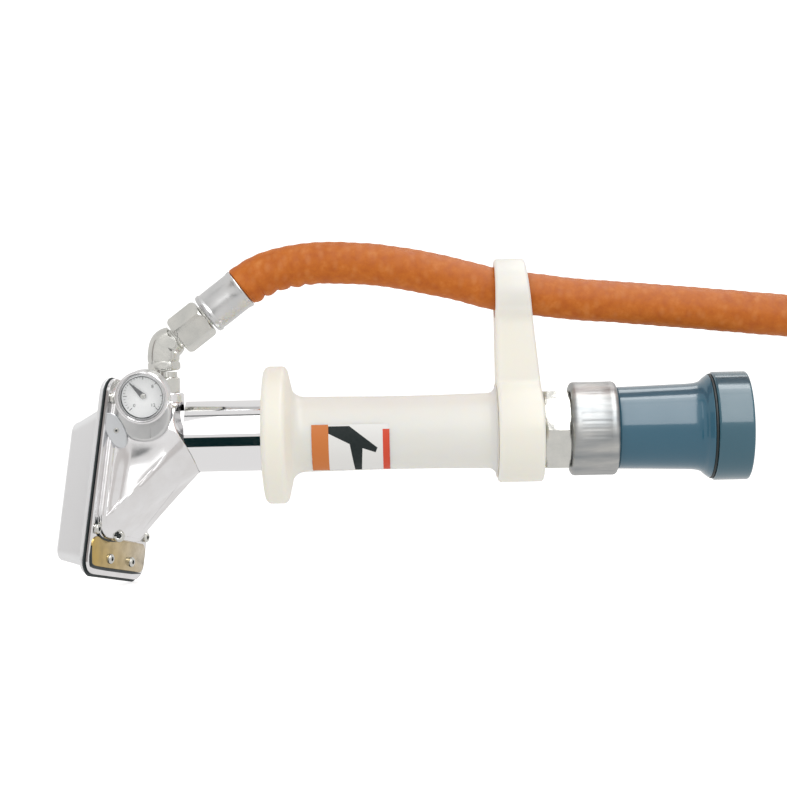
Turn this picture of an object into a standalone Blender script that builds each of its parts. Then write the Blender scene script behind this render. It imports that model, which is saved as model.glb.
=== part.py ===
"""Hand-held steam and suction nozzle: a gauge-fitted head on a tube with a moulded grip,
a hose guide, a swivel hose cuff and a short steam hose.

Tool frame: +X runs along the handle from the head to the cuff, +Z points to the hose guide's
eye, and the gauge faces -Y. Every object hangs on one empty, which puts the middle of the rigid
parts' bounding box at the world's origin.
"""

import math

import bmesh
import bpy
from mathutils import Matrix, Vector

MM = 0.001
GAP = 0.3  # between neighbouring parts, mm

# Driving dimensions, mm
TUBE_R = 26.5
TUBE_WALL = 2.0
TUBE_SLIM_R = 22.5
TUBE_SLIM_BORE = 19.5
TUBE_START = -157.0
TUBE_END = 118.0
GRIP_START = -100.0
GRIP_END = 74.7
GRIP_R = 28.2
GRIP_BORE = TUBE_SLIM_R + GAP
DISC_R = 51.5
GUIDE_START = GRIP_END + GAP
GUIDE_FOOT = 109.0
GUIDE_TIP = 98.0
GUIDE_R = 39.0
GUIDE_ARM = 19.0
EYE_Z = 103.5
EYE_R = 25.0
EYE_BORE = 19.4
ADAPTER_START = GUIDE_FOOT + GAP
SPIGOT_START = 129.0
SPIGOT_END = 149.5
SPIGOT_R = 27.0
NUT_START = SPIGOT_START + 0.4
NUT_END = 164.0
NUT_R = 35.0
CUFF_START = 152.1
CUFF_END = 262.0
CUFF_BORE = 24.0
PLATE_CENTRE = (-206.6, -0.6, -31.6)
PLATE_YAW = -19.0
PLATE_ROLL = -9.0
PLATE_PITCH = 4.4
PLATE_HALF_W = 45.0
PLATE_HALF_H = 72.2
PLATE_CORNER = 12.0
NECK_X = -152.0
NECK_END = -147.0
NECK_R = 28.6
ELBOW = (-171.0, 0.0, 68.0)
FITTING_RISE = 37.0
GAUGE_BACK = (-182.6, -39.5, 32.6)
GAUGE_TILT = 6.0
NEEDLE_REST = 45.0  # degrees from twelve o'clock
GAUGE_R = 18.5
HOSE_R = 16.0

# Steam hose route (x, z) in mm, from the ferrule over the eye to its free end
HOSE_ROUTE = [
    (-114.0, 111.0),
    (-102.0, 118.6),
    (-88.0, 124.0),
    (-68.0, 127.6),
    (-42.0, 128.2),
    (-12.0, 125.8),
    (18.0, 120.6),
    (48.0, 113.6),
    (76.0, 105.9),
    (104.0, 101.6),
    (134.0, 97.4),
    (168.0, 94.2),
    (202.0, 91.0),
    (236.0, 87.6),
    (268.0, 84.2),
    (300.0, 80.8),
]
CORD_END = ("end_ferrule", "end_stem", "end_nut")

ROUND = 36
SMALL_ROUND = 20


# Materials


def principled(name, colour, roughness, metallic=0.0):
    material = bpy.data.materials.new(name)
    material.use_nodes = True
    shader = material.node_tree.nodes["Principled BSDF"]
    shader.inputs["Base Color"].default_value = (*colour, 1.0)
    shader.inputs["Roughness"].default_value = roughness
    shader.inputs["Metallic"].default_value = metallic
    return material


# Mesh making


def bridge(bm, first, second):
    """Faces between two rings of vertices; a ring of one vertex is a pole."""
    count = max(len(first), len(second))
    for i in range(count):
        j = (i + 1) % count
        corners = [first[i % len(first)], first[j % len(first)]]
        corners += [second[j % len(second)], second[i % len(second)]]
        unique = list(dict.fromkeys(corners))
        bm.faces.new(unique)


def rings_to_mesh(rings, cyclic):
    """Closed body through rings of points; cyclic rings make a hollow one, others are capped."""
    bm = bmesh.new()
    made = [[bm.verts.new(point) for point in ring] for ring in rings]
    for first, second in zip(made, made[1:]):
        bridge(bm, first, second)
    if cyclic:
        bridge(bm, made[-1], made[0])
    else:
        for ring in (made[0], made[-1]):
            if len(ring) > 2:
                bm.faces.new(ring)
    return bm


def circle(radius, x=0.0, sides=ROUND):
    step = 2 * math.pi / sides
    return [
        Vector((x, radius * math.cos(i * step), radius * math.sin(i * step))) for i in range(sides)
    ]


def lathe(profile, sides=ROUND):
    """Body turned about X from (x, r) points; solid if it starts at r = 0, a ring if not."""
    rings = [[Vector((x, 0, 0))] if r == 0 else circle(r, x, sides) for x, r in profile]
    return rings_to_mesh(rings, cyclic=profile[0][1] != 0)


def arc(centre, radii, start, end, steps=4):
    """Points (x, r) on an ellipse arc, angles in degrees."""
    points = []
    for i in range(steps + 1):
        angle = math.radians(start + (end - start) * i / steps)
        points.append((centre[0] + radii[0] * math.cos(angle), centre[1] + radii[1] * math.sin(angle)))
    return points


def rounded_rect(half_w, half_h, corner, shift=0.0, per_corner=7):
    """Outline (y, z) with a fixed number of points, so that outlines can be lofted."""
    points = []
    for quarter, (sy, sz) in enumerate(((1, 1), (-1, 1), (-1, -1), (1, -1))):
        for i in range(per_corner):
            angle = math.radians(90 * (quarter + (i + 0.5) / per_corner))
            y = sy * (half_w - corner) + corner * math.cos(angle)
            z = sz * (half_h - corner) + corner * math.sin(angle)
            points.append((y, z + shift))
    return points


def hexagon(corner_r, x, per_side=4):
    """Hexagon outline with points along its sides, so that it can be lofted to a circle."""
    points = []
    for i in range(6 * per_side):
        side, part = divmod(i, per_side)
        a, b = math.radians(60 * side), math.radians(60 * (side + 1))
        start = Vector((0, math.cos(a), math.sin(a))) * corner_r
        end = Vector((0, math.cos(b), math.sin(b))) * corner_r
        points.append(start.lerp(end, part / per_side) + Vector((x, 0, 0)))
    return points


def hex_nut_rings(start, end, corner_r, bore, chamfer=1.6):
    """Rings of a hexagonal piece with a bore and chamfered corners."""
    flat_r = corner_r * 0.9
    return [
        circle(flat_r, start, 24),
        hexagon(corner_r, start + chamfer),
        hexagon(corner_r, end - chamfer),
        circle(flat_r, end, 24),
        circle(bore, end, 24),
        circle(bore, start, 24),
    ]


def sweep(points, radii, sides=SMALL_ROUND):
    """Solid round bar along points, with a radius at each."""
    points = [Vector(p) for p in points]
    rings = []
    side = None
    for i, point in enumerate(points):
        tangent = (points[min(i + 1, len(points) - 1)] - points[max(i - 1, 0)]).normalized()
        if side is None:
            side = tangent.orthogonal().normalized()
        side = (side - tangent * side.dot(tangent)).normalized()
        other = tangent.cross(side)
        ring = []
        for k in range(sides):
            angle = 2 * math.pi * k / sides
            ring.append(point + (side * math.cos(angle) + other * math.sin(angle)) * radii[i])
        rings.append(ring)
    return rings_to_mesh(rings, cyclic=False)


def smooth_route(points, spacing):
    """Points at about equal spacing on a smooth curve through the given (x, z) points."""
    ends = [2 * Vector(points[0]) - Vector(points[1]), 2 * Vector(points[-1]) - Vector(points[-2])]
    knots = [ends[0], *[Vector(p) for p in points], ends[1]]
    fine = []
    for a, b, c, d in zip(knots, knots[1:], knots[2:], knots[3:]):
        for i in range(20):
            t = i / 20
            fine.append(
                0.5 * (2 * b + (c - a) * t + (2 * a - 5 * b + 4 * c - d) * t**2
                       + (3 * b - a - 3 * c + d) * t**3)
            )
    fine.append(knots[-2])
    length = sum((q - p).length for p, q in zip(fine, fine[1:]))
    count = round(length / spacing)
    route, walked = [fine[0]], 0.0
    for p, q in zip(fine, fine[1:]):
        walked += (q - p).length
        if walked >= len(route) * length / count and len(route) < count:
            route.append(q)
    route.append(fine[-1])
    return route


class Workshop:
    """Makes the named objects under one empty."""

    def __init__(self):
        self.frame = bpy.data.objects.new("tool_frame", None)
        bpy.context.collection.objects.link(self.frame)
        self.made = []

    def add(self, name, bm, material, place=None, sharp=32):
        """Object from a mesh in mm, placed by a matrix in mm."""
        bmesh.ops.recalc_face_normals(bm, faces=bm.faces)
        bmesh.ops.scale(bm, vec=(MM, MM, MM), verts=bm.verts)
        mesh = bpy.data.meshes.new(name)
        bm.to_mesh(mesh)
        bm.free()
        mesh.shade_smooth()
        mesh.set_sharp_from_angle(angle=math.radians(sharp))
        mesh.materials.append(material)
        obj = bpy.data.objects.new(name, mesh)
        bpy.context.collection.objects.link(obj)
        obj.parent = self.frame
        place = (place or Matrix()).copy()
        place.translation *= MM
        obj.matrix_local = place
        self.made.append(obj)
        return obj

    def tool(self, target, name, bm, operation, place=None):
        """Hidden body that a Boolean modifier takes from a target or joins to it."""
        cutter = self.add(name, bm, target.data.materials[0], place)
        cutter.hide_render = True
        cutter.display_type = "WIRE"
        modifier = target.modifiers.new(name, "BOOLEAN")
        modifier.operation = operation
        modifier.object = cutter
        self.made.remove(cutter)
        return cutter


def turned_place(origin, rise=0.0):
    """Place for a body turned about X, its axis raised in the XZ plane."""
    return Matrix.Translation(origin) @ Matrix.Rotation(math.radians(-rise), 4, "Y")


def upright_place(origin):
    """Place for a body turned about X that stands along +Z."""
    return turned_place(origin, 90.0)


def facing_place(origin, tilt=0.0):
    """Place for a body turned about X that faces -Y, leaning down by tilt."""
    turn = Matrix.Rotation(math.radians(-90), 4, "Z")
    lean = Matrix.Rotation(math.radians(tilt), 4, "X")
    return Matrix.Translation(origin) @ lean @ turn


def plate_place():
    """Frame of the head's plate: local -X is the mouth's way, Y its width and Z its height."""
    turn = Matrix.Rotation(math.radians(PLATE_YAW), 4, "Z")
    roll = Matrix.Rotation(math.radians(PLATE_ROLL), 4, "X")
    pitch = Matrix.Rotation(math.radians(PLATE_PITCH), 4, "Y")
    return Matrix.Translation(PLATE_CENTRE) @ turn @ roll @ pitch


def flat_ring(outline, x):
    return [Vector((x, y, z)) for y, z in outline]


def plate_outline():
    return rounded_rect(PLATE_HALF_W, PLATE_HALF_H, PLATE_CORNER)


# Head


def mouth_shroud(shop, material):
    """Tapered open box with a flange; its walls are about 3 mm."""
    rings = [
        flat_ring(plate_outline(), -1.0),
        flat_ring(plate_outline(), -4.0),
        flat_ring(rounded_rect(35.5, 63.0, 11.0, -5.3), -4.0),
        flat_ring(rounded_rect(34.5, 60.2, 11.0, -7.5), -7.0),
        flat_ring(rounded_rect(31.0, 51.8, 9.0, -12.5), -29.5),
        flat_ring(rounded_rect(30.0, 50.8, 8.5, -12.5), -31.0),
        flat_ring(rounded_rect(27.5, 48.3, 6.5, -12.5), -31.0),
        flat_ring(rounded_rect(31.0, 56.7, 8.0, -7.5), -7.0),
        flat_ring(rounded_rect(31.5, 59.5, 8.0, -6.5), -1.0),
    ]
    return shop.add("mouth_shroud", rings_to_mesh(rings, True), material, plate_place())


def flange_gasket(shop, material):
    inner = rounded_rect(33.0, 62.0, 9.0, -4.5)
    outer = rounded_rect(PLATE_HALF_W - 0.4, PLATE_HALF_H - 0.4, PLATE_CORNER)
    rings = [flat_ring(outer, -0.7), flat_ring(outer, 0.7), flat_ring(inner, 0.7), flat_ring(inner, -0.7)]
    return shop.add("flange_gasket", rings_to_mesh(rings, True), material, plate_place())


def rear_housing(shop, material):
    """Flanged shell that runs from the plate's outline to the tube's circle."""
    place = plate_place()
    base_out = rounded_rect(34.0, 54.0, 14.0, 12.7)
    base_in = rounded_rect(31.5, 51.5, 11.5, 12.7)

    def world(outline, x):
        return [place @ point for point in flat_ring(outline, x)]

    def neck(radius, x):
        return flat_ring(rounded_rect(radius, radius, radius), x)

    def between(first, second, part):
        return [a.lerp(b, part) for a, b in zip(first, second)]

    bore = TUBE_R + GAP
    steps = (0.2, 0.4, 0.6, 0.8)
    outer_start, outer_end = world(base_out, 9.0), neck(NECK_R, NECK_X)
    inner_start, inner_end = world(base_in, 7.0), neck(bore, NECK_X)
    rings = [world(plate_outline(), 1.0), world(plate_outline(), 4.0), world(base_out, 4.0), outer_start]
    rings += [between(outer_start, outer_end, part) for part in steps]
    rings += [outer_end, neck(NECK_R, NECK_END), neck(bore, NECK_END), inner_end]
    rings += [between(inner_start, inner_end, part) for part in reversed(steps)]
    rings += [inner_start, world(base_in, 1.0)]
    housing = shop.add("rear_housing", rings_to_mesh(rings, True), material, sharp=28)
    gauge_boss = lathe([(0.0, 0.0), (0.0, 12.5), (12.0, 12.5), (13.0, 11.5), (13.0, 0.0)], 28)
    shop.tool(housing, "gauge_boss", gauge_boss, "UNION", facing_place((-181.0, -20.5, 11.0)))
    inlet_boss = lathe([(0.0, 0.0), (0.0, 11.0), (9.0, 11.0), (10.0, 10.0), (10.0, 0.0)], 24)
    shop.tool(housing, "inlet_boss", inlet_boss, "UNION", upright_place((ELBOW[0], 0.0, 22.5)))
    hole = lathe([(0.0, 0.0), (0.0, 6.8), (30.0, 6.8), (30.0, 0.0)], 24)
    shop.tool(housing, "inlet_hole", hole, "DIFFERENCE", upright_place((ELBOW[0], 0.0, 12.0)))
    return housing


SCREW_SPOTS = [(-39.5, 56.7), (-39.5, -39.3), (39.5, 56.7), (39.5, -39.3), (-14.0, -59.5), (20.0, -59.5)]


def flange_screws(shop, material):
    """Domed screw heads on the back of the rear flange."""
    profile = [(0.0, 0.0), (0.0, 3.8), (1.2, 3.8), (2.4, 2.9), (3.0, 1.4), (3.0, 0.0)]
    for number, (across, up) in enumerate(SCREW_SPOTS, start=1):
        place = plate_place() @ Matrix.Translation((4.0 + GAP, across, up))
        shop.add(f"flange_screw_{number}", lathe(profile, 14), material, place)


def steam_parts(shop, material):
    """Spray bar across the mouth, its jets, and the pipe that feeds it."""
    place = plate_place()
    bar = sweep([(-12.0, -27.0, 38.0), (-12.0, 0.0, 38.0), (-12.0, 27.0, 38.0)], [4.0] * 3, 14)
    shop.add("spray_bar", bar, material, place)
    jet = [(0.0, 0.0), (0.0, 2.6), (3.5, 2.6), (5.0, 1.2), (5.0, 0.0)]
    for number, across in enumerate((-17.0, 0.0, 17.0), start=1):
        spot = place @ Matrix.Translation((-16.0 - GAP, across, 38.0)) @ Matrix.Rotation(math.pi, 4, "Z")
        shop.add(f"spray_jet_{number}", lathe(jet, 12), material, spot)
    end = place @ Vector((-7.6, 0.0, 38.0))
    before = place @ Vector((4.0, 0.0, 38.0))
    route = [(ELBOW[0], 0.0, 19.6), (ELBOW[0], 0.0, 16.0), (ELBOW[0] - 3.0, 0.0, 13.0), (-184.0, 0.0, 11.5)]
    pipe = sweep([*route, before, end], [3.5] * 6, 12)
    shop.add("feed_pipe", pipe, material)


def inlet_fittings(shop, steel):
    """Nipple, bent fitting, hose stem and crimped ferrule, one after another."""
    x, y, z = ELBOW
    nipple = [
        circle(6.5, 0.0, 24),
        circle(6.5, 13.0, 24),
        hexagon(10.2, 13.0),
        hexagon(10.2, 24.5),
        circle(7.2, 29.0, 24),
        circle(4.0, 29.0, 24),
        circle(4.0, 0.0, 24),
    ]
    shop.add("inlet_nipple", rings_to_mesh(nipple, True), steel, upright_place((x, y, 20.0)))
    rise = math.radians(FITTING_RISE)
    way = Vector((math.cos(rise), 0.0, math.sin(rise)))
    corner = Vector(ELBOW)
    legs = [(x, y, 49.3), (x, y, 51.0), (x, y, 60.0), (x, y, 65.0)]
    turn = [corner + Vector((1.2, 0.0, 1.8)), corner + way * 5.0, corner + way * 9.0]
    spigot = [corner + way * 9.3, corner + way * 21.5]
    radii = [9.5, 11.8, 12.6, 12.8, 12.4, 11.4, 9.6, 8.4, 8.4]
    shop.add("inlet_elbow", sweep([*legs, *turn, *spigot], radii), steel)
    stem = [(22.0, 0.0), (22.0, 8.4), (37.7, 8.4), (37.7, 0.0)]
    shop.add("hose_stem", lathe(stem, SMALL_ROUND), steel, turned_place(ELBOW, FITTING_RISE))
    ferrule = [(38.0, 0.0), (38.0, 13.5), (38.8, 15.6), (41.0, 15.9), (42.0, 15.2), (68.0, 15.2)]
    ferrule += [(69.0, 15.9), (70.8, 15.9), (71.1, 15.4), (71.1, 0.0)]
    shop.add("hose_ferrule", lathe(ferrule, 28), steel, turned_place(ELBOW, FITTING_RISE))
    nut = hex_nut_rings(0.0, 25.5, 15.6, 8.4 + GAP)
    spot = Vector(ELBOW) + way * 10.8
    shop.add("steam_swivel_nut", rings_to_mesh(nut, True), steel, turned_place(spot, FITTING_RISE))


def gauge(shop, steel, white, dark, glass):
    """Pressure gauge: cup, dial, needle, window and bezel, with a stem to the head's boss."""
    place = facing_place(GAUGE_BACK, GAUGE_TILT)
    cup = [(0.0, 0.0), (0.0, 17.5), (1.0, GAUGE_R), (22.0, GAUGE_R), (22.0, 16.4), (4.0, 16.4), (4.0, 0.0)]
    shop.add("gauge_case", lathe(cup), steel, place)
    dial = [(13.0, 0.0), (13.0, 16.1), (14.0, 16.1), (14.0, 0.0)]
    shop.add("gauge_dial", lathe(dial), white, place)
    window = [(19.9, 0.0), (19.9, 16.1), (21.6, 16.1), (21.6, 0.0)]
    shop.add("gauge_window", lathe(window), glass, place)
    bezel = [(22.3, 15.0), (22.3, 18.8), (23.0, 19.3), (25.0, 19.3), (26.0, 18.6), (26.4, 17.2), (25.6, 15.6)]
    shop.add("gauge_bezel", lathe(bezel), steel, place)
    stem = [(0.0, 0.0), (0.0, 6.5), (2.7, 6.5), (2.7, 0.0)]
    shop.add("gauge_stem", lathe(stem, SMALL_ROUND), steel, facing_place((-182.0, -34.0, 17.0)))
    outline = arc((0.0, 0.0), (2.2, 2.2), 70, 290, 8) + [(13.2, -0.35), (13.2, 0.35)]
    turn = Matrix.Rotation(math.radians(NEEDLE_REST), 4, "X")
    rings = [[Vector((x, a, b)) for b, a in outline] for x in (15.0, 15.9)]
    shop.add("gauge_needle", rings_to_mesh(rings, False), dark, place @ turn)



# Handle


def suction_tube(shop, material):
    """Tube from the head to the coupling, slimmer inside the grip."""
    wide_bore = TUBE_R - TUBE_WALL
    step = GRIP_START + 16.0
    profile = [
        (TUBE_START, TUBE_R),
        (step, TUBE_R),
        (step, TUBE_SLIM_R),
        (TUBE_END, TUBE_SLIM_R),
        (TUBE_END, TUBE_SLIM_BORE),
        (step - 3.0, TUBE_SLIM_BORE),
        (step - 9.0, wide_bore),
        (TUBE_START, wide_bore),
    ]
    return shop.add("suction_tube", lathe(profile), material)


def grip_sleeve(shop, material):
    """Moulded grip with a hand guard disc at its front."""
    bore_step = GRIP_START + 16.0 + GAP
    disc_front = arc((GRIP_START + 5.5, DISC_R - 6.0), (4.5, 6.0), 180, 90)
    disc_back = arc((GRIP_START + 14.5, DISC_R - 5.0), (4.5, 5.0), 90, 15)
    fillet = arc((GRIP_START + 32.0, GRIP_R + 8.0), (10.5, 8.0), 180, 270)
    waist = [(-40.0, GRIP_R - 0.3), (-10.0, GRIP_R - 0.7), (25.0, GRIP_R - 0.6), (50.0, GRIP_R - 0.2)]
    flare = arc((GRIP_END - 7.0, GRIP_R + 8.0), (7.0, 8.0), 270, 345)
    profile = [(GRIP_START, TUBE_R + GAP), (GRIP_START, 38.0), *disc_front, *disc_back, *fillet, *waist]
    profile += [*flare, (GRIP_END, GRIP_R + 7.0), (GRIP_END, GRIP_BORE)]
    profile += [(bore_step, GRIP_BORE), (bore_step, TUBE_R + GAP)]
    return shop.add("grip_sleeve", lathe(profile, 40), material)


def guide_half_width(z):
    """Half width of the hose guide's outline at a height: foot, arm and eye, blended."""
    foot = math.sqrt(max(GUIDE_R**2 - z**2, 0.0))
    eye = math.sqrt(max(EYE_R**2 - (z - EYE_Z) ** 2, 0.0))
    fade = min(max((z - EYE_Z + 14.0) / 14.0, 0.0), 1.0)
    arm = GUIDE_ARM * (1.0 - fade) if z > 0 else 0.0
    power = 7
    return (foot**power + eye**power + arm**power) ** (1 / power)


def hose_guide(shop, material):
    """Foot round the tube, an arm that thins upwards, and an eye for the hose."""
    top = EYE_Z + EYE_R
    heights = []
    for low, high, count in ((-GUIDE_R, GUIDE_R, 22), (GUIDE_R, EYE_Z - EYE_R, 6), (EYE_Z - EYE_R, top, 18)):
        middle, half = (low + high) / 2, (high - low) / 2
        heights += [middle - half * math.cos(math.pi * (i + 0.5) / count) for i in range(count)]
    side = [(guide_half_width(z), z) for z in heights]
    outline = side + [(-y, z) for y, z in reversed(side)]

    def back_x(z):
        return GUIDE_FOOT + (GUIDE_TIP - GUIDE_FOOT) * min(max((z - 20.0) / (top - 20.0), 0.0), 1.0)

    def ring(inset, front):
        points = []
        for y, z in outline:
            middle = 0.0 if z < GUIDE_R else min(z, EYE_Z)
            reach = math.hypot(y, z - middle)
            shrink = (reach - inset) / reach
            x = GUIDE_START if front else back_x(z)
            points.append(Vector((x, y * shrink, middle + (z - middle) * shrink)))
        return points

    edge = 1.5
    shift = Vector((edge, 0.0, 0.0))
    rings = [ring(edge, True), [p + shift for p in ring(0.0, True)], [p - shift for p in ring(0.0, False)]]
    rings.append(ring(edge, False))
    guide = shop.add("hose_guide", rings_to_mesh(rings, False), material, sharp=40)
    for name, radius, height in (("foot_hole", GRIP_BORE, 0.0), ("eye_hole", EYE_BORE, EYE_Z)):
        hole = lathe([(60.0, 0.0), (60.0, radius), (130.0, radius), (130.0, 0.0)])
        shop.tool(guide, name, hole, "DIFFERENCE", Matrix.Translation((0.0, 0.0, height)))
    return guide


# Coupling and cuff


def hex_adapter(shop, material):
    """Hexagon with a spigot; the tube's end seats in its front."""
    corner_r, rim_r, chamfer = 33.0, 29.8, 1.8
    rings = [
        circle(rim_r, ADAPTER_START, 24),
        hexagon(corner_r, ADAPTER_START + chamfer),
        hexagon(corner_r, SPIGOT_START - chamfer),
        circle(rim_r, SPIGOT_START, 24),
        circle(SPIGOT_R, SPIGOT_START, 24),
        circle(SPIGOT_R, SPIGOT_END, 24),
        circle(TUBE_SLIM_BORE, SPIGOT_END, 24),
        circle(TUBE_SLIM_BORE, TUBE_END + GAP, 24),
        circle(GRIP_BORE + GAP, TUBE_END + GAP, 24),
        circle(GRIP_BORE + GAP, ADAPTER_START, 24),
    ]
    return shop.add("hex_adapter", rings_to_mesh(rings, True), material)


def coupling(shop, steel, black):
    """Swivel seal and the coupling nut that holds the cuff's lip."""
    seal = [(149.8, 20.0), (149.8, 25.5), (151.8, 25.5), (151.8, 20.0)]
    shop.add("swivel_seal", lathe(seal), black)
    bore = SPIGOT_R + 0.6
    length = NUT_END - NUT_START
    nut = [(0.0, bore), (0.0, NUT_R - 1.6), (1.6, NUT_R), (length - 1.6, NUT_R), (length, NUT_R - 1.6)]
    nut.append((length, bore))
    shop.add("coupling_nut", lathe(nut, 40), steel, turned_place((NUT_START, 0.0, 0.0)))


def cuff(shop, rubber, pale, black):
    """Swivelling hose cuff: lip, tapered body and flare, with a seal and a collar behind it."""
    flare_end, seal_end = 233.3, 235.4
    collar_bore = 33.6
    place = turned_place((CUFF_START, 0.0, 0.0))

    def local(points):
        return [(x - CUFF_START, r) for x, r in points]

    body = [
        (CUFF_START, CUFF_BORE),
        (CUFF_START, SPIGOT_R),
        (NUT_END + GAP, SPIGOT_R),
        (NUT_END + GAP, 29.8),
        (NUT_END + 1.2, 30.5),
        (223.5, 32.4),
        (227.5, 33.8),
        (230.5, 37.2),
        (flare_end, 38.6),
        (flare_end, collar_bore - GAP),
        (CUFF_END, collar_bore - GAP),
        (CUFF_END, CUFF_BORE),
    ]
    shop.add("cuff", lathe(local(body), 40), rubber, place)
    start = flare_end + GAP
    seal = [(start, collar_bore), (start, 39.2), (seal_end, 39.2), (seal_end, collar_bore)]
    shop.add("cuff_seal", lathe(local(seal), 40), black, place)
    start = seal_end + GAP
    collar = [(start, collar_bore), (start, 39.5), (start + 1.2, 40.6), (CUFF_END - 2.0, 40.6)]
    collar += [(CUFF_END, 38.6), (CUFF_END, collar_bore)]
    shop.add("cuff_collar", lathe(local(collar), 40), pale, place)


# Steam hose


def steam_hose(shop, material, steel):
    """Free hose along its route, with a crimped ferrule, a stem and a loose nut on its end."""
    route = smooth_route(HOSE_ROUTE, 20.0)
    rise = math.radians(FITTING_RISE)
    square_end = route[0] + Vector((math.cos(rise), math.sin(rise))) * 4.0
    route.insert(1, square_end)
    curve = bpy.data.curves.new("steam_hose", "CURVE")
    curve.dimensions = "3D"
    curve.bevel_depth = HOSE_R * MM
    curve.bevel_resolution = 3
    curve.use_fill_caps = True
    curve.render_resolution_u = 0
    spline = curve.splines.new("POLY")
    spline.points.add(len(route) - 1)
    for point, (x, z) in zip(spline.points, route):
        point.co = (x * MM, 0.0, z * MM, 1.0)
    curve.materials.append(material)
    hose = bpy.data.objects.new("steam_hose", curve)
    bpy.context.collection.objects.link(hose)
    hose.parent = shop.frame
    end, before = Vector(HOSE_ROUTE[-1]), Vector(HOSE_ROUTE[-2])
    rise = math.degrees(math.atan2(end.y - before.y, end.x - before.x))
    origin = Vector((end.x, 0.0, end.y))
    place = turned_place(origin, rise)
    ferrule = [(0.4, 0.0), (0.4, 16.4), (2.2, 16.4), (3.2, 15.6), (26.0, 15.6), (28.0, 13.5), (28.0, 0.0)]
    shop.add("end_ferrule", lathe(ferrule, 28), steel, place)
    stem = [(28.3, 0.0), (28.3, 8.4), (52.0, 8.4), (52.0, 4.5), (40.0, 4.5), (40.0, 0.0)]
    shop.add("end_stem", lathe(stem, SMALL_ROUND), steel, place)
    way = Matrix.Rotation(math.radians(-rise), 3, "Y") @ Vector((1.0, 0.0, 0.0))
    nut = hex_nut_rings(0.0, 24.0, 16.5, 8.4 + GAP)
    shop.add("end_nut", rings_to_mesh(nut, True), steel, turned_place(origin + way * 30.0, rise))


def centre_frame(shop):
    """Moves the empty so that the middle of the rigid parts' box is the world's origin."""
    bpy.context.view_layer.update()
    depsgraph = bpy.context.evaluated_depsgraph_get()
    low, high = Vector((1e9,) * 3), Vector((-1e9,) * 3)
    for obj in shop.made:
        if obj.name in CORD_END:
            continue
        shape = obj.evaluated_get(depsgraph)
        for vertex in shape.data.vertices:
            point = shape.matrix_world @ vertex.co
            low = Vector(map(min, low, point))
            high = Vector(map(max, high, point))
    shop.frame.location = -(low + high) / 2



def main():
    for obj in list(bpy.data.objects):
        bpy.data.objects.remove(obj)
    chrome = principled("polished_chrome", (0.78, 0.78, 0.80), 0.12, 1.0)
    satin = principled("satin_steel", (0.62, 0.63, 0.63), 0.34, 1.0)
    blasted = principled("blasted_steel", (0.62, 0.62, 0.64), 0.42, 1.0)
    zinc = principled("zinc_plate", (0.60, 0.60, 0.57), 0.26, 1.0)
    white = principled("white_plastic", (0.86, 0.85, 0.78), 0.38)
    black = principled("black_rubber", (0.02, 0.03, 0.03), 0.6)
    orange = principled("orange_rubber", (0.72, 0.22, 0.05), 0.5)
    blue = principled("blue_grey_rubber", (0.16, 0.27, 0.36), 0.4)
    pale = principled("pale_blue_rubber", (0.24, 0.34, 0.43), 0.42)
    dial = principled("dial_white", (0.88, 0.88, 0.86), 0.45)
    needle = principled("needle_black", (0.02, 0.02, 0.02), 0.4)
    glass = principled("window_glass", (0.9, 0.93, 0.95), 0.05)
    shop = Workshop()
    mouth_shroud(shop, blasted)
    flange_gasket(shop, black)
    rear_housing(shop, chrome)
    flange_screws(shop, satin)
    steam_parts(shop, satin)
    inlet_fittings(shop, zinc)
    gauge(shop, chrome, dial, needle, glass)
    suction_tube(shop, chrome)
    grip_sleeve(shop, white)
    hose_guide(shop, white)
    hex_adapter(shop, chrome)
    coupling(shop, satin, black)
    cuff(shop, blue, pale, black)
    steam_hose(shop, orange, zinc)
    centre_frame(shop)


main()
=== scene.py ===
"""Looks of the hand-held steam and suction nozzle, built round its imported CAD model."""

import math

import bmesh
import bpy
from mathutils import Matrix, Vector, noise
from mathutils.bvhtree import BVHTree


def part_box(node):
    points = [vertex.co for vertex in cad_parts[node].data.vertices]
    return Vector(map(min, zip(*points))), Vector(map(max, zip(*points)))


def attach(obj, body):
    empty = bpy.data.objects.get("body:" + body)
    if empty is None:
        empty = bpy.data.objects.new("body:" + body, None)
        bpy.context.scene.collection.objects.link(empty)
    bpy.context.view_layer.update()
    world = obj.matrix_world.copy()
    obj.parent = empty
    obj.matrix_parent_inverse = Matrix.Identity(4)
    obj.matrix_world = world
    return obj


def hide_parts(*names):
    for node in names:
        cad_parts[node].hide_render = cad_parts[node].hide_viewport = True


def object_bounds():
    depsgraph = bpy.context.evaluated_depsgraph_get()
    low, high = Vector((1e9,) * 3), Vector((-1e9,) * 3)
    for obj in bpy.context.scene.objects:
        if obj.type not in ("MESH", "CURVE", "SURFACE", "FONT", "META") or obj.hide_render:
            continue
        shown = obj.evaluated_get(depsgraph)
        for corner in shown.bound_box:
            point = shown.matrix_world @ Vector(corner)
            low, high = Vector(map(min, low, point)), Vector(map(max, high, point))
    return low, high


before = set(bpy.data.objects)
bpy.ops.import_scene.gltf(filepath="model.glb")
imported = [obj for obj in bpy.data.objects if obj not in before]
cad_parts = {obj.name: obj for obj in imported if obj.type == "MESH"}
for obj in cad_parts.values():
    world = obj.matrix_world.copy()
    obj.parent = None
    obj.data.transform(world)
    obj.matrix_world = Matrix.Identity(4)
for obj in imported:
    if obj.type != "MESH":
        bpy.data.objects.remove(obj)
cad_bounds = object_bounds()

MM = 0.001
BODY = "handle_assembly"

# The tool frame of the CAD model: +X along the handle's axis, +Z to the hose guide's eye
TUBE_START = -157.0
tube_low, tube_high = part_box("suction_tube")
TOOL_ORIGIN = (tube_low + tube_high) / 2
TOOL_ORIGIN.x = tube_low.x - TUBE_START * MM

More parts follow.
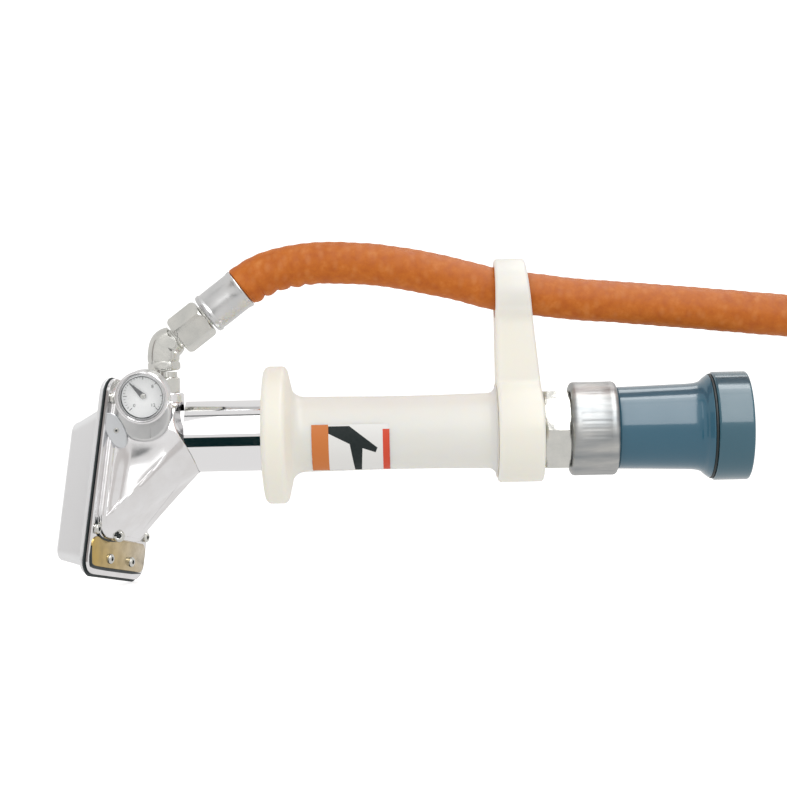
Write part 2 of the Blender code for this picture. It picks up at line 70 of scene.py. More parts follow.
# Dimensions that the detailed pieces share with the CAD model, mm
TUBE_R = 26.5
TUBE_STEP = -84.0
GRIP_START, GRIP_END, GRIP_R, GRIP_BORE = -100.0, 74.7, 28.2, 22.8
DISC_R = 51.5
GUIDE_START, GUIDE_FOOT, GUIDE_TIP = 75.0, 109.0, 98.0
GUIDE_R, GUIDE_ARM = 39.0, 19.0
EYE_Z, EYE_R, EYE_BORE = 103.5, 25.0, 19.4
NUT_START, NUT_END, NUT_R, NUT_BORE = 129.4, 164.0, 35.0, 27.6
CUFF_START, CUFF_END, CUFF_BORE = 152.1, 262.0, 24.0
PLATE_CENTRE = (-206.6, -0.6, -31.6)
PLATE_YAW, PLATE_ROLL, PLATE_PITCH = -19.0, -9.0, 4.4
PLATE_HALF_W, PLATE_HALF_H, PLATE_CORNER = 45.0, 72.2, 12.0
BASE_HALF_W, BASE_SHIFT = 34.0, 12.7  # the housing's base, and its middle above the plate's
NECK_END, NECK_R, SEAT_R = -147.0, 28.6, 27.3
ELBOW = (-171.0, 0.0, 68.0)
FITTING_RISE = 37.0
GAUGE_BACK = (-182.6, -39.5, 32.6)
GAUGE_TILT = 6.0
DIAL_START, NEEDLE_REST = -135.0, 45.0
HOSE_R = 16.0
GAP = 0.3  # between pieces that meet

# Lines in the (x, z) plane: the weld on the housing's side, and the hose's middle
WELD_LOW, WELD_HIGH = (-219.0, -62.0), (-172.0, -14.0)
HOSE_ROUTE = [(-114.0, 111.0), (-102.0, 118.6), (-88.0, 124.0), (-68.0, 127.6), (-42.0, 128.2)]
HOSE_ROUTE += [(-12.0, 125.8), (18.0, 120.6), (48.0, 113.6), (76.0, 105.9), (104.0, 101.6)]
HOSE_ROUTE += [(134.0, 97.4), (168.0, 94.2), (202.0, 91.0), (236.0, 87.6), (268.0, 84.2), (300.0, 80.8)]

# The grip's waist and the cuff's outside, as (x, r) points
WAIST_KNOTS = ((-68.0, 28.2), (-40.0, 27.9), (-10.0, 27.5), (25.0, 27.6), (50.0, 28.0), (67.7, 28.2))
CUFF_KNOTS = ((167, 30.7), (186, 31.2), (206, 31.8), (220, 32.3), (226.5, 33.6), (230, 36.4), (232.8, 38.5))

# Points along the straight sides of the housing's rings: long sides and ends
SIDE_POINTS, END_POINTS = 26, 8

# The view: its distance, and the millimetres that its square frame shows at the handle
VIEW_DISTANCE = 1447.5
VIEW_WIDTH = 590.25
VIEW_CENTRE = (-1.9, 29.25)
VIEW_ROLL = 1.2


# Placing


def at(x, y, z):
    """World point, in metres, of a tool frame point in mm."""
    return TOOL_ORIGIN + Vector((x, y, z)) * MM


def rotation(degrees, axis):
    return Matrix.Rotation(math.radians(degrees), 4, axis)


def turned_place(origin, rise=0.0):
    return Matrix.Translation(origin) @ rotation(-rise, "Y")


def upright_place(origin):
    return turned_place(origin, 90.0)


def facing_place(origin, tilt=0.0):
    turn = rotation(-90, "Z")
    lean = rotation(tilt, "X")
    return Matrix.Translation(origin) @ lean @ turn


def plate_place():
    """Frame of the head's plate: local -X is the mouth's way, Y its width and Z its height."""
    turn = rotation(PLATE_YAW, "Z")
    roll = rotation(PLATE_ROLL, "X")
    pitch = rotation(PLATE_PITCH, "Y")
    return Matrix.Translation(PLATE_CENTRE) @ turn @ roll @ pitch


PLATE = plate_place()
GAUGE = facing_place(GAUGE_BACK, GAUGE_TILT)
FITTING_WAY = Vector((math.cos(math.radians(FITTING_RISE)), 0.0, math.sin(math.radians(FITTING_RISE))))


# Mesh making


def bridge(bm, first, second):
    """Faces between two rings of vertices; a ring of one vertex is a pole."""
    count = max(len(first), len(second))
    for i in range(count):
        j = (i + 1) % count
        corners = [first[i % len(first)], first[j % len(first)]]
        corners += [second[j % len(second)], second[i % len(second)]]
        bm.faces.new(list(dict.fromkeys(corners)))


def rings_to_mesh(rings, cyclic):
    """Closed body through rings of points; cyclic rings make a hollow one, others are capped."""
    bm = bmesh.new()
    made = [[bm.verts.new(point) for point in ring] for ring in rings]
    for first, second in zip(made, made[1:]):
        bridge(bm, first, second)
    if cyclic:
        bridge(bm, made[-1], made[0])
    else:
        for ring in (made[0], made[-1]):
            if len(ring) > 2:
                bm.faces.new(ring)
    return bm


def circle(radius, x=0.0, sides=96, ripple=None):
    """Ring of points; ripple(angle) may change the radius."""
    points = []
    for i in range(sides):
        angle = 2 * math.pi * i / sides
        r = radius + (ripple(angle) if ripple else 0.0)
        points.append(Vector((x, r * math.cos(angle), r * math.sin(angle))))
    return points


def lathe(profile, sides=96):
    """Body turned about X from (x, r) points; solid if it starts at r = 0, a ring if not."""
    rings = [[Vector((x, 0, 0))] if r == 0 else circle(r, x, sides) for x, r in profile]
    return rings_to_mesh(rings, cyclic=profile[0][1] != 0)


def arc(centre, radii, start, end, steps):
    """Points (x, r) on an ellipse arc, angles in degrees."""
    points = []
    for i in range(steps + 1):
        angle = math.radians(start + (end - start) * i / steps)
        x, r = radii[0] * math.cos(angle), radii[1] * math.sin(angle)
        points.append((centre[0] + x, centre[1] + r))
    return points


def rounded_rect(half_w, half_h, corner, shift=0.0, per_corner=14):
    """Outline (y, z) with a fixed number of points, so that outlines can be lofted."""
    points = []
    for quarter, (sy, sz) in enumerate(((1, 1), (-1, 1), (-1, -1), (1, -1))):
        for i in range(per_corner):
            angle = math.radians(90 * (quarter + (i + 0.5) / per_corner))
            y = sy * (half_w - corner) + corner * math.cos(angle)
            z = sz * (half_h - corner) + corner * math.sin(angle)
            points.append((y, z + shift))
    return points


def flat_ring(outline, x):
    return [Vector((x, y, z)) for y, z in outline]


def hexagon(corner_r, x, per_side=8):
    """Hexagon outline with points along its sides, so that it can be lofted to a circle."""
    points = []
    for i in range(6 * per_side):
        side, part = divmod(i, per_side)
        a, b = math.radians(60 * side), math.radians(60 * (side + 1))
        start = Vector((0, math.cos(a), math.sin(a))) * corner_r
        end = Vector((0, math.cos(b), math.sin(b))) * corner_r
        points.append(start.lerp(end, part / per_side) + Vector((x, 0, 0)))
    return points


def chamfered_hex(start, end, corner_r, bore, chamfer):
    """Rings of a hexagonal piece whose corners are turned off to curved chamfers."""
    sides = 48
    flat_r = corner_r * math.cos(math.radians(30))

    def turned_ring(x, depth):
        limit = corner_r - depth
        ring = []
        for point in hexagon(corner_r, x):
            reach = math.hypot(point.y, point.z)
            shrink = min(1.0, limit / reach)
            ring.append(Vector((x, point.y * shrink, point.z * shrink)))
        return ring

    drop = corner_r - flat_r
    steps = [(0.0, drop * 1.05), (0.25, drop * 0.62), (0.6, drop * 0.25), (1.0, 0.0)]
    rings = [circle(flat_r * 0.94, start, sides)]
    rings += [turned_ring(start + 0.1 + chamfer * part, depth) for part, depth in steps]
    rings += [turned_ring(end - 0.1 - chamfer * part, depth) for part, depth in reversed(steps)]
    rings += [circle(flat_r * 0.94, end, sides), circle(bore, end, sides), circle(bore, start, sides)]
    return rings


def sweep_rings(points, radii, sides, ripple=None):
    """Rings along points, a radius at each; ripple(i, way) may change it."""
    rings = []
    side = None
    for i, point in enumerate(points):
        tangent = (points[min(i + 1, len(points) - 1)] - points[max(i - 1, 0)]).normalized()
        if side is None:
            side = tangent.orthogonal().normalized()
        side = (side - tangent * side.dot(tangent)).normalized()
        other = tangent.cross(side)
        ring = []
        for k in range(sides):
            angle = 2 * math.pi * k / sides
            way = side * math.cos(angle) + other * math.sin(angle)
            r = radii[i] + (ripple(i, way) if ripple else 0.0)
            ring.append(point + way * r)
        rings.append(ring)
    return rings


def smooth_curve(points, per_span):
    """Points on a smooth curve through the given vectors."""
    points = [Vector(p) for p in points]
    knots = [2 * points[0] - points[1], *points, 2 * points[-1] - points[-2]]
    fine = []
    for a, b, c, d in zip(knots, knots[1:], knots[2:], knots[3:]):
        for i in range(per_span):
            t = i / per_span
            bend = (2 * a - 5 * b + 4 * c - d) * t**2 + (3 * b - a - 3 * c + d) * t**3
            fine.append(0.5 * (2 * b + (c - a) * t + bend))
    fine.append(knots[-2])
    return fine


def line_through(knots, per_span):
    """Points (x, r) on a smooth curve through (x, r) knots."""
    return [(p.x, p.y) for p in smooth_curve([Vector((x, r, 0)) for x, r in knots], per_span)]


def add_object(name, data):
    obj = bpy.data.objects.new(name, data)
    bpy.context.collection.objects.link(obj)
    return obj


def mesh_from(name, bm):
    """Mesh with a bmesh's faces; the bmesh is freed."""
    mesh = bpy.data.meshes.new(name)
    bm.to_mesh(mesh)
    bm.free()
    return mesh


def piece(name, bm, material, body=BODY, place=None, slot=None, replaces=(), sharp=30):
    """Object from a mesh in mm, in the tool frame or at a place in it, riding on a body."""
    bmesh.ops.recalc_face_normals(bm, faces=bm.faces)
    bmesh.ops.transform(bm, matrix=place or Matrix(), verts=bm.verts)
    bmesh.ops.scale(bm, vec=(MM, MM, MM), verts=bm.verts)
    bmesh.ops.translate(bm, vec=TOOL_ORIGIN, verts=bm.verts)
    mesh = mesh_from(name, bm)
    mesh.shade_smooth()
    mesh.set_sharp_from_angle(angle=math.radians(sharp))
    mesh.materials.append(material)
    obj = add_object(name, mesh)
    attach(obj, body)
    if replaces:
        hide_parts(*replaces)
    return obj


def stand_in(name, bm, material, slot, **options):
    """Piece that takes the place of the CAD node with its own name."""
    return piece(name, bm, material, slot=slot, replaces=[name], **options)


def smooth_step(low, high, value):
    t = min(max((value - low) / (high - low), 0.0), 1.0)
    return t * t * (3 - 2 * t)


# Materials


class Shade:
    """One material's node tree, with short calls for the nodes it uses."""

    def __init__(self, name, colour, roughness, metallic=0.0):
        self.material = bpy.data.materials.new(name)
        self.material.use_nodes = True
        self.tree = self.material.node_tree
        self.shader = self.tree.nodes["Principled BSDF"]
        self.set("Base Color", (*colour, 1.0))
        self.set("Roughness", roughness)
        self.set("Metallic", metallic)
        self.place = self.tree.nodes.new("ShaderNodeTexCoord").outputs["Object"]

    def set(self, socket, value):
        self.shader.inputs[socket].default_value = value

    def link(self, source, target):
        self.tree.links.new(source, target)

    def feed(self, socket, value):
        """Gives an input another node's output or a set value."""
        if isinstance(value, bpy.types.NodeSocket):
            self.link(value, socket)
        else:
            socket.default_value = value

    def stretched(self, scale):
        """Object coordinates scaled per axis, for grain that runs one way."""
        mapping = self.tree.nodes.new("ShaderNodeMapping")
        mapping.inputs["Scale"].default_value = scale
        self.link(self.place, mapping.inputs["Vector"])
        return mapping.outputs["Vector"]

    def noise(self, scale, detail=3.0, roughness=0.5, vector=None):
        node = self.tree.nodes.new("ShaderNodeTexNoise")
        node.inputs["Scale"].default_value = scale
        node.inputs["Detail"].default_value = detail
        node.inputs["Roughness"].default_value = roughness
        self.link(vector or self.place, node.inputs["Vector"])
        return node.outputs["Fac"]

    def cells(self, scale, vector):
        node = self.tree.nodes.new("ShaderNodeTexVoronoi")
        node.inputs["Scale"].default_value = scale
        self.link(vector, node.inputs["Vector"])
        return node.outputs["Distance"]

    def ramp(self, source, stops):
        """Colour ramp through (position, colour) stops; a grey may be one number."""
        node = self.tree.nodes.new("ShaderNodeValToRGB")
        elements = node.color_ramp.elements
        while len(elements) < len(stops):
            elements.new(0.5)
        for element, (position, colour) in zip(elements, stops):
            element.position = position
            grey = isinstance(colour, (int, float))
            element.color = (colour, colour, colour, 1.0) if grey else (*colour, 1.0)
        self.link(source, node.inputs["Fac"])
        return node.outputs["Color"]

    def mix(self, factor, first, second):
        """Mixes two colours, each a socket or three numbers, by a socket or a number."""
        node = self.tree.nodes.new("ShaderNodeMix")
        node.data_type = "RGBA"
        for number, value in ((0, factor), (6, first), (7, second)):
            colour = isinstance(value, tuple)
            self.feed(node.inputs[number], (*value, 1.0) if colour else value)
        return node.outputs[2]

    def math(self, operation, first, second=0.0):
        node = self.tree.nodes.new("ShaderNodeMath")
        node.operation = operation
        self.feed(node.inputs[0], first)
        self.feed(node.inputs[1], second)
        return node.outputs[0]

    def axis(self, index):
        """One object coordinate, in metres."""
        node = self.tree.nodes.new("ShaderNodeSeparateXYZ")
        self.link(self.place, node.inputs[0])
        return node.outputs[index]

    def colour(self, source):
        self.link(source, self.shader.inputs["Base Color"])

    def gloss(self, source, low, high):
        node = self.tree.nodes.new("ShaderNodeMapRange")
        node.inputs["To Min"].default_value = low
        node.inputs["To Max"].default_value = high
        self.link(source, node.inputs["Value"])
        self.link(node.outputs["Result"], self.shader.inputs["Roughness"])

    def bump(self, source, distance_mm, strength=1.0):
        node = self.tree.nodes.new("ShaderNodeBump")
        node.inputs["Strength"].default_value = strength
        node.inputs["Distance"].default_value = distance_mm * MM
        previous = self.shader.inputs["Normal"].links
        if previous:
            self.link(previous[0].from_socket, node.inputs["Normal"])
        self.link(source, node.inputs["Height"])
        self.link(node.outputs["Normal"], self.shader.inputs["Normal"])


def polished_chrome():
    """Hand-polished cast surface: near mirror, with slow ripples, haze and fine scratches."""
    shade = Shade("polished_chrome", (0.86, 0.86, 0.87), 0.07, 1.0)
    haze = shade.noise(55.0, 4.0)
    dull = shade.ramp(haze, [(0.35, 0.0), (0.7, 1.0)])
    shade.colour(shade.mix(dull, (0.88, 0.88, 0.89), (0.80, 0.79, 0.79)))
    shade.gloss(haze, 0.10, 0.20)
    shade.bump(shade.noise(38.0, 2.0), 0.03, 0.5)
    shade.bump(shade.noise(420.0, 2.0, vector=shade.stretched((1.0, 0.25, 3.0))), 0.006, 0.35)
    return shade.material


def tube_chrome():
    """Drawn tube: smooth mirror with faint lines along it."""
    shade = Shade("tube_chrome", (0.90, 0.90, 0.91), 0.05, 1.0)
    lines = shade.noise(900.0, 2.0, vector=shade.stretched((0.03, 1.0, 1.0)))
    shade.gloss(lines, 0.03, 0.09)
    shade.bump(lines, 0.004, 0.3)
    return shade.material


def satin_steel():
    """Turned steel with fine lines round it and handling marks."""
    shade = Shade("satin_steel", (0.66, 0.67, 0.67), 0.30, 1.0)
    blotch = shade.noise(70.0, 4.0)
    shade.colour(shade.mix(blotch, (0.56, 0.57, 0.58), (0.80, 0.80, 0.79)))
    lines = shade.noise(700.0, 2.0, vector=shade.stretched((1.0, 0.04, 0.04)))
    shade.gloss(lines, 0.22, 0.40)
    shade.bump(lines, 0.015, 0.5)
    return shade.material


def knurled_steel():
    """Worn steel of the coupling nut, with scratches along the knurl."""
    shade = Shade("knurled_steel", (0.62, 0.63, 0.63), 0.34, 1.0)
    wear = shade.noise(90.0, 5.0, vector=shade.stretched((0.3, 1.0, 1.6)))
    stops = [(0.30, (0.31, 0.33, 0.34)), (0.52, (0.42, 0.43, 0.43)), (0.75, (0.56, 0.56, 0.54))]
    shade.colour(shade.ramp(wear, stops))
    shade.gloss(wear, 0.38, 0.52)
    shade.bump(shade.noise(320.0, 3.0, vector=shade.stretched((0.12, 1.0, 2.0))), 0.07, 0.7)
    return shade.material


def zinc_plate():
    """Bright zinc with a slight warm cast and tool marks."""
    shade = Shade("zinc_plate", (0.66, 0.66, 0.62), 0.22, 1.0)
    tone = shade.noise(90.0, 3.0)
    shade.colour(shade.mix(tone, (0.56, 0.57, 0.55), (0.80, 0.79, 0.74)))
    shade.gloss(shade.noise(300.0, 2.0), 0.14, 0.30)
    shade.bump(shade.noise(160.0, 2.0), 0.03, 0.5)
    return shade.material


def white_plastic():
    """Off-white moulded plastic, slightly see-through at its edges, with faint flow marks."""
    shade = Shade("white_plastic", (0.86, 0.84, 0.76), 0.36)
    flow = shade.noise(9.0, 3.0, vector=shade.stretched((0.4, 1.0, 1.0)))
    shade.colour(shade.mix(flow, (0.95, 0.92, 0.85), (0.94, 0.90, 0.79)))
    shade.set("Subsurface Weight", 0.55)
    shade.set("Subsurface Radius", (0.012, 0.010, 0.007))
    shade.set("Subsurface Scale", 1.0)
    shade.gloss(shade.noise(140.0, 2.0), 0.30, 0.44)
    shade.bump(shade.noise(60.0, 2.0), 0.05, 0.4)
    return shade.material


def black_rubber():
    shade = Shade("black_rubber", (0.012, 0.022, 0.024), 0.5)
    shade.gloss(shade.noise(220.0, 2.0), 0.40, 0.62)
    shade.bump(shade.noise(900.0, 2.0), 0.02, 0.5)
    return shade.material


def orange_rubber():
    """Cloth-marked orange hose cover: pale flecks, fine weave and dusty high spots."""
    shade = Shade("orange_rubber", (0.62, 0.18, 0.04), 0.5)
    dust = shade.noise(120.0, 4.0, 0.6)
    stops = [(0.30, (0.50, 0.115, 0.008)), (0.55, (0.58, 0.152, 0.012)), (0.78, (0.67, 0.215, 0.040))]
    base = shade.ramp(dust, stops)
    flecks = shade.ramp(shade.cells(150.0, shade.stretched((1.0, 1.0, 0.55))), [(0.10, 1.0), (0.42, 0.0)])
    shade.colour(shade.mix(shade.math("MULTIPLY", flecks, 0.14), base, (0.84, 0.40, 0.16)))
    weave = shade.noise(1500.0, 2.0, vector=shade.stretched((0.5, 1.0, 1.0)))
    shade.gloss(dust, 0.42, 0.62)
    shade.bump(shade.noise(170.0, 3.0), 0.24, 0.6)
    shade.set("Specular IOR Level", 0.3)
    shade.bump(weave, 0.05, 0.5)
    return shade.material


def blue_rubber(name, dark, light):
    """Smooth moulded rubber with a soft gloss and faint bloom."""
    shade = Shade(name, dark, 0.34)
    shade.colour(shade.mix(shade.noise(24.0, 4.0), dark, light))
    shade.gloss(shade.noise(90.0, 3.0), 0.26, 0.44)
    shade.bump(shade.noise(500.0, 2.0), 0.02, 0.4)
    shade.set("Specular IOR Level", 0.25)
    shade.set("Coat Weight", 1.0)
    shade.set("Coat Roughness", 0.11)
    return shade.material


def plain(name, colour, roughness, metallic=0.0, grain=300.0, painted_glow=0.0):
    """Simple finish for small pieces, with fine grain; a glow is painted light, emission on a piece that is
    no lamp.
    """
    shade = Shade(name, colour, roughness, metallic)
    shade.gloss(shade.noise(grain, 2.0), roughness * 0.8, min(roughness * 1.25, 1.0))
    shade.bump(shade.noise(grain * 3, 1.0), 0.01, 0.4)
    # Emission here is painted light: it brightens the piece as if more light fell on it.
    shade.set("Emission Color", (*colour, 1.0))
    shade.set("Emission Strength", painted_glow)
    return shade.material


def painted_gold_reflection():
    """Painted reflection for the sheet on the flange's lower back: straw gold that fades to grey-tan away
    from the mouth, in place of the warm reflection in the polished back.
    """
    shade = Shade("painted_gold_reflection", (0.50, 0.38, 0.18), 0.18, 1.0)
    across = shade.math("ADD", shade.axis(0), -(TOOL_ORIGIN.x - 0.222))
    fade = shade.math("MULTIPLY", across, 26.0)
    stops = [(0.0, (0.56, 0.40, 0.14)), (0.45, (0.62, 0.50, 0.30)), (0.9, (0.72, 0.66, 0.58))]
    tint = shade.ramp(fade, stops)
    stain = shade.ramp(shade.noise(130.0, 4.0), [(0.4, 0.0), (0.7, 0.5)])
    shade.colour(shade.mix(stain, tint, (0.34, 0.27, 0.14)))
    shade.gloss(shade.noise(80.0, 3.0), 0.10, 0.28)
    shade.bump(shade.noise(70.0, 2.0), 0.08, 0.5)
    return shade.material


def window_glass():
    shade = Shade("window_glass", (0.94, 0.97, 0.98), 0.03)
    shade.set("Alpha", 0.08)
    shade.bump(shade.noise(30.0, 1.0), 0.01, 0.2)
    return shade.material


CHROME = polished_chrome()
TUBE_CHROME = tube_chrome()
MOUTH = plain("mouth_finish", (0.89, 0.90, 0.91), 0.42, 0.55, 420.0)
TAB = plain("tab_finish", (0.70, 0.72, 0.74), 0.35, 0.8, 200.0)
SATIN = satin_steel()
KNURLED = knurled_steel()
ZINC = zinc_plate()
WHITE = white_plastic()
BLACK = black_rubber()
ORANGE = orange_rubber()
BLUE = blue_rubber("blue_grey_rubber", (0.016, 0.104, 0.165), (0.030, 0.124, 0.190))
PALE_BLUE = blue_rubber("pale_blue_rubber", (0.022, 0.104, 0.150), (0.040, 0.126, 0.175))
# Painted light: the dial glows faintly, so it looks brighter than the lamps make it.
DIAL = plain("dial_white", (0.96, 0.97, 0.97), 0.5, painted_glow=0.2)
INK = plain("dial_ink", (0.05, 0.05, 0.06), 0.5)
FILM = plain("label_white", (0.86, 0.86, 0.84), 0.4)
ORANGE_FILM = plain("label_orange", (0.66, 0.20, 0.04), 0.6)
BLACK_FILM = plain("label_black", (0.002, 0.010, 0.010), 0.7)
RED_FILM = plain("label_red", (0.72, 0.07, 0.025), 0.6)
# Painted reflection: the gold colour of the sheet on the flange's lower back.
PAINTED_GOLD_REFLECTION = painted_gold_reflection()
GLASS = window_glass()


# View and light


def add_camera():
    data = bpy.data.cameras.new("view")
    data.sensor_width = 36.0
    data.lens = 36.0 * VIEW_DISTANCE / VIEW_WIDTH
    data.clip_start, data.clip_end = 0.01, 50.0
    camera = add_object("view", data)
    level = rotation(90, "X")
    roll = rotation(-VIEW_ROLL, "Z")
    stand = Matrix.Translation(at(VIEW_CENTRE[0], -VIEW_DISTANCE, VIEW_CENTRE[1]))
    camera.matrix_world = stand @ level @ roll
    bpy.context.scene.camera = camera


def add_panel(name, centre, size, facing, power):
    """Soft rectangular lamp, in metres from the tool's origin, turned to face a point."""
    data = bpy.data.lights.new(name, "AREA")
    data.shape = "RECTANGLE"
    data.size, data.size_y = size
    data.energy = power
    lamp = add_object(name, data)
    lamp.location = TOOL_ORIGIN + Vector(centre)
    lamp.rotation_euler = (Vector(facing) - Vector(centre)).to_track_quat("-Z", "Y").to_euler()
    return lamp


def add_card(name, centre, size, facing, colour):
    """Matt studio card that only reflections see."""
    bm = bmesh.new()
    bmesh.ops.create_grid(bm, x_segments=1, y_segments=1, size=0.5)
    mesh = mesh_from(name, bm)
    card = add_object(name, mesh)
    card.scale = (*size, 1.0)
    card.location = TOOL_ORIGIN + Vector(centre)
    card.rotation_euler = (Vector(facing) - Vector(centre)).to_track_quat("Z", "Y").to_euler()
    shade = Shade(name, colour, 0.9)
    shade.set("Specular IOR Level", 0.0)
    mesh.materials.append(shade.material)
    card.visible_camera = False
    card.visible_diffuse = False
    card.visible_shadow = False


def add_stage():
    """Plain pale floor that curves up into a backdrop."""
    floor_z = cad_bounds[0].z - 0.002
    flat, rise = 2.2, 0.8
    profile = [(-3.0, 0.0), (flat, 0.0), *arc((flat, rise), (rise, rise), -84, 0, 14), (flat + rise, 5.0)]
    bm = bmesh.new()
    rows = [[bm.verts.new((x, y, floor_z + z)) for y, z in profile] for x in (-5.0, 5.0)]
    for i in range(len(profile) - 1):
        bm.faces.new((rows[0][i], rows[1][i], rows[1][i + 1], rows[0][i + 1]))
    mesh = mesh_from("floor", bm)
    mesh.shade_smooth()
    floor = add_object("floor", mesh)
    shade = Shade("floor", (0.93, 0.93, 0.93), 0.8)
    shade.set("Specular IOR Level", 0.1)
    shade.set("Emission Color", (1.0, 1.0, 1.0, 1.0))
    shade.set("Emission Strength", 0.5)
    mesh.materials.append(shade.material)
    floor.visible_glossy = False
    floor.visible_diffuse = False


def add_light():
    world = bpy.data.worlds.new("studio")
    world.use_nodes = True
    background = world.node_tree.nodes["Background"]
    background.inputs["Color"].default_value = (1.0, 0.985, 0.975, 1.0)
    background.inputs["Strength"].default_value = 0.80
    bpy.context.scene.world = world
    bpy.context.scene.view_settings.view_transform = "Standard"
    room_lamps = (
        ("key", (-0.5, -1.0, 1.3), (0.9, 0.7), (0.0, 0.0, 0.0), 4.4),
        ("fill", (0.9, -1.2, 0.6), (0.7, 0.7), (0.1, 0.0, 0.0), 1.7),
    )
    reflected_lamps = (
        ("tube_box", (-0.235, -1.02, 0.80), (0.15, 1.5), (-0.13, 0.0, 0.0), 0.95),
        ("cuff_box", (0.47, -0.80, 1.02), (0.56, 2.5), (0.47, 0.0, 0.0), 17.5),
        ("cuff_top_box", (0.47, 0.45, 1.4), (0.56, 1.3), (0.47, 0.0, 0.0), 6.0),
    )
    for lamp in room_lamps:
        add_panel(*lamp).visible_glossy = False
    for lamp in reflected_lamps:
        add_panel(*lamp).visible_diffuse = False
    add_card("dark_card", (-0.275, -1.5, -0.47), (0.23, 0.86), (-0.13, 0.0, 0.0), (0.004, 0.018, 0.020))
    add_card("side_card", (-1.3, -0.7, 0.05), (0.7, 1.3), (-0.2, 0.0, 0.0), (0.34, 0.31, 0.30))
    add_card("front_card", (0.05, -0.6, 0.06), (0.24, 0.34), (-0.19, 0.0, 0.0), (0.72, 0.70, 0.69))
    add_card("roof_card", (0.0, -0.5, 1.5), (3.0, 0.14), (0.0, 0.0, 0.0), (0.2, 0.21, 0.21))


add_camera()
add_stage()
add_light()


# Head: plate, mouth and housing


def lofted(rows):
    """Rings from rows of (x, half_w, half_h, corner, shift)."""
    return [flat_ring(rounded_rect(w, h, corner, shift), x) for x, w, h, corner, shift in rows]


def eased_step(first, last, bulge, steps=4):
    """Rows that turn smoothly from one (x, half_w, half_h, corner, shift) row to another."""
    rows = []
    for i in range(steps + 1):
        quick, slow = math.sin(i / steps * math.pi / 2), 1 - math.cos(i / steps * math.pi / 2)
        along, across = (slow, quick) if bulge else (quick, slow)
        x = first[0] + (last[0] - first[0]) * along
        rows.append((x, *(a + (b - a) * across for a, b in zip(first[1:], last[1:]))))
    return rows


def plate_row(inset):
    """The plate's outline made smaller all round, as (half_w, half_h, corner, shift)."""
    return (PLATE_HALF_W - inset, PLATE_HALF_H - inset, PLATE_CORNER - inset, 0.0)


def add_mouth():
    plate, edge = plate_row(0.0), plate_row(0.7)
    rows = [(-1.0, *edge), (-1.7, *plate), (-3.3, *plate), (-4.0, *edge)]
    rows += eased_step((-4.0, 37.5, 65.0, 12.0, -4.8), (-7.0, 34.5, 60.2, 11.0, -7.5), True)
    rows += [(-8.0, 34.3, 59.9, 11.0, -7.7), (-28.0, 31.2, 52.1, 9.2, -12.3)]
    rows += eased_step((-29.0, 31.0, 51.8, 9.0, -12.5), (-31.0, 29.6, 50.4, 8.0, -12.5), False)
    rows += [(-31.0, 28.0, 48.8, 7.0, -12.5), (-30.5, 27.5, 48.3, 6.5, -12.5)]
    rows += [(-8.0, 30.8, 56.5, 8.0, -7.7), (-1.0, 31.5, 59.5, 8.0, -6.5)]
    bm = rings_to_mesh(lofted(rows), True)
    stand_in("mouth_shroud", bm, MOUTH, "blasted_steel", place=PLATE, sharp=40)


def add_gasket():
    inner = (31.5, 58.0, 8.0, -4.5)
    rows = [(-0.7, *plate_row(0.8))]
    for x, out in ((-0.6, 0.2), (-0.2, 0.5), (0.2, 0.5), (0.6, 0.2)):
        rows.append((x, PLATE_HALF_W + out, PLATE_HALF_H + 0.7 + out, PLATE_CORNER, -0.7))
    rows += [(0.7, *plate_row(0.8)), (0.7, *inner), (-0.7, *inner)]
    bm = rings_to_mesh(lofted(rows), True)
    stand_in("flange_gasket", bm, BLACK, "black_rubber", place=PLATE)


def filled_outline(points):
    """The outline of rounded_rect with extra points along its straight sides."""
    per_corner = len(points) // 4
    full = []
    for i, point in enumerate(points):
        full.append(point)
        if i % per_corner == per_corner - 1:
            after = points[(i + 1) % len(points)]
            extra = END_POINTS if (i // per_corner) % 2 == 0 else SIDE_POINTS
            full += [point.lerp(after, k / (extra + 1)) for k in range(1, extra + 1)]
    return full


def line_side(x, z, first, last):
    """Distance of (x, z) from the line through two points, positive to the right of its way."""
    way = (Vector(last) - Vector(first)).normalized()
    off = Vector((x, z)) - Vector(first)
    return off.x * way.y - off.y * way.x


def panel_depth(x, z, from_base):
    """How far the housing's side panel is set in: a triangle over the diagonal duct."""
    over_weld = smooth_step(-1.2, 1.6, -line_side(x, z, WELD_LOW, WELD_HIGH))
    drop = min(max((-3.5 - z) / 17.0, 0.0), 1.0)
    hollow = 1.0 - (1.0 - drop) ** 2
    ahead = 1.0 - smooth_step(-176.0, -164.0, x)
    return 2.8 * over_weld * hollow * ahead * smooth_step(0.0, 12.0, from_base)


def neck_ring(radius, shift):
    """Ring round the tube that lies further back above the handle's axis than below it."""
    ring = flat_ring(rounded_rect(radius, radius, radius), 0.0)
    for point in ring:
        point.x = NECK_END + shift - 17.5 * math.exp(-(((point.z - 15.0) / 25.0) ** 2))
    return ring


def base_ring(inset, x):
    """Ring of the housing's base, at a distance from the plate's middle."""
    outline = rounded_rect(BASE_HALF_W - inset, 54.0 - inset, 14.0 - inset, BASE_SHIFT)
    return filled_outline([PLATE @ p for p in flat_ring(outline, x)])


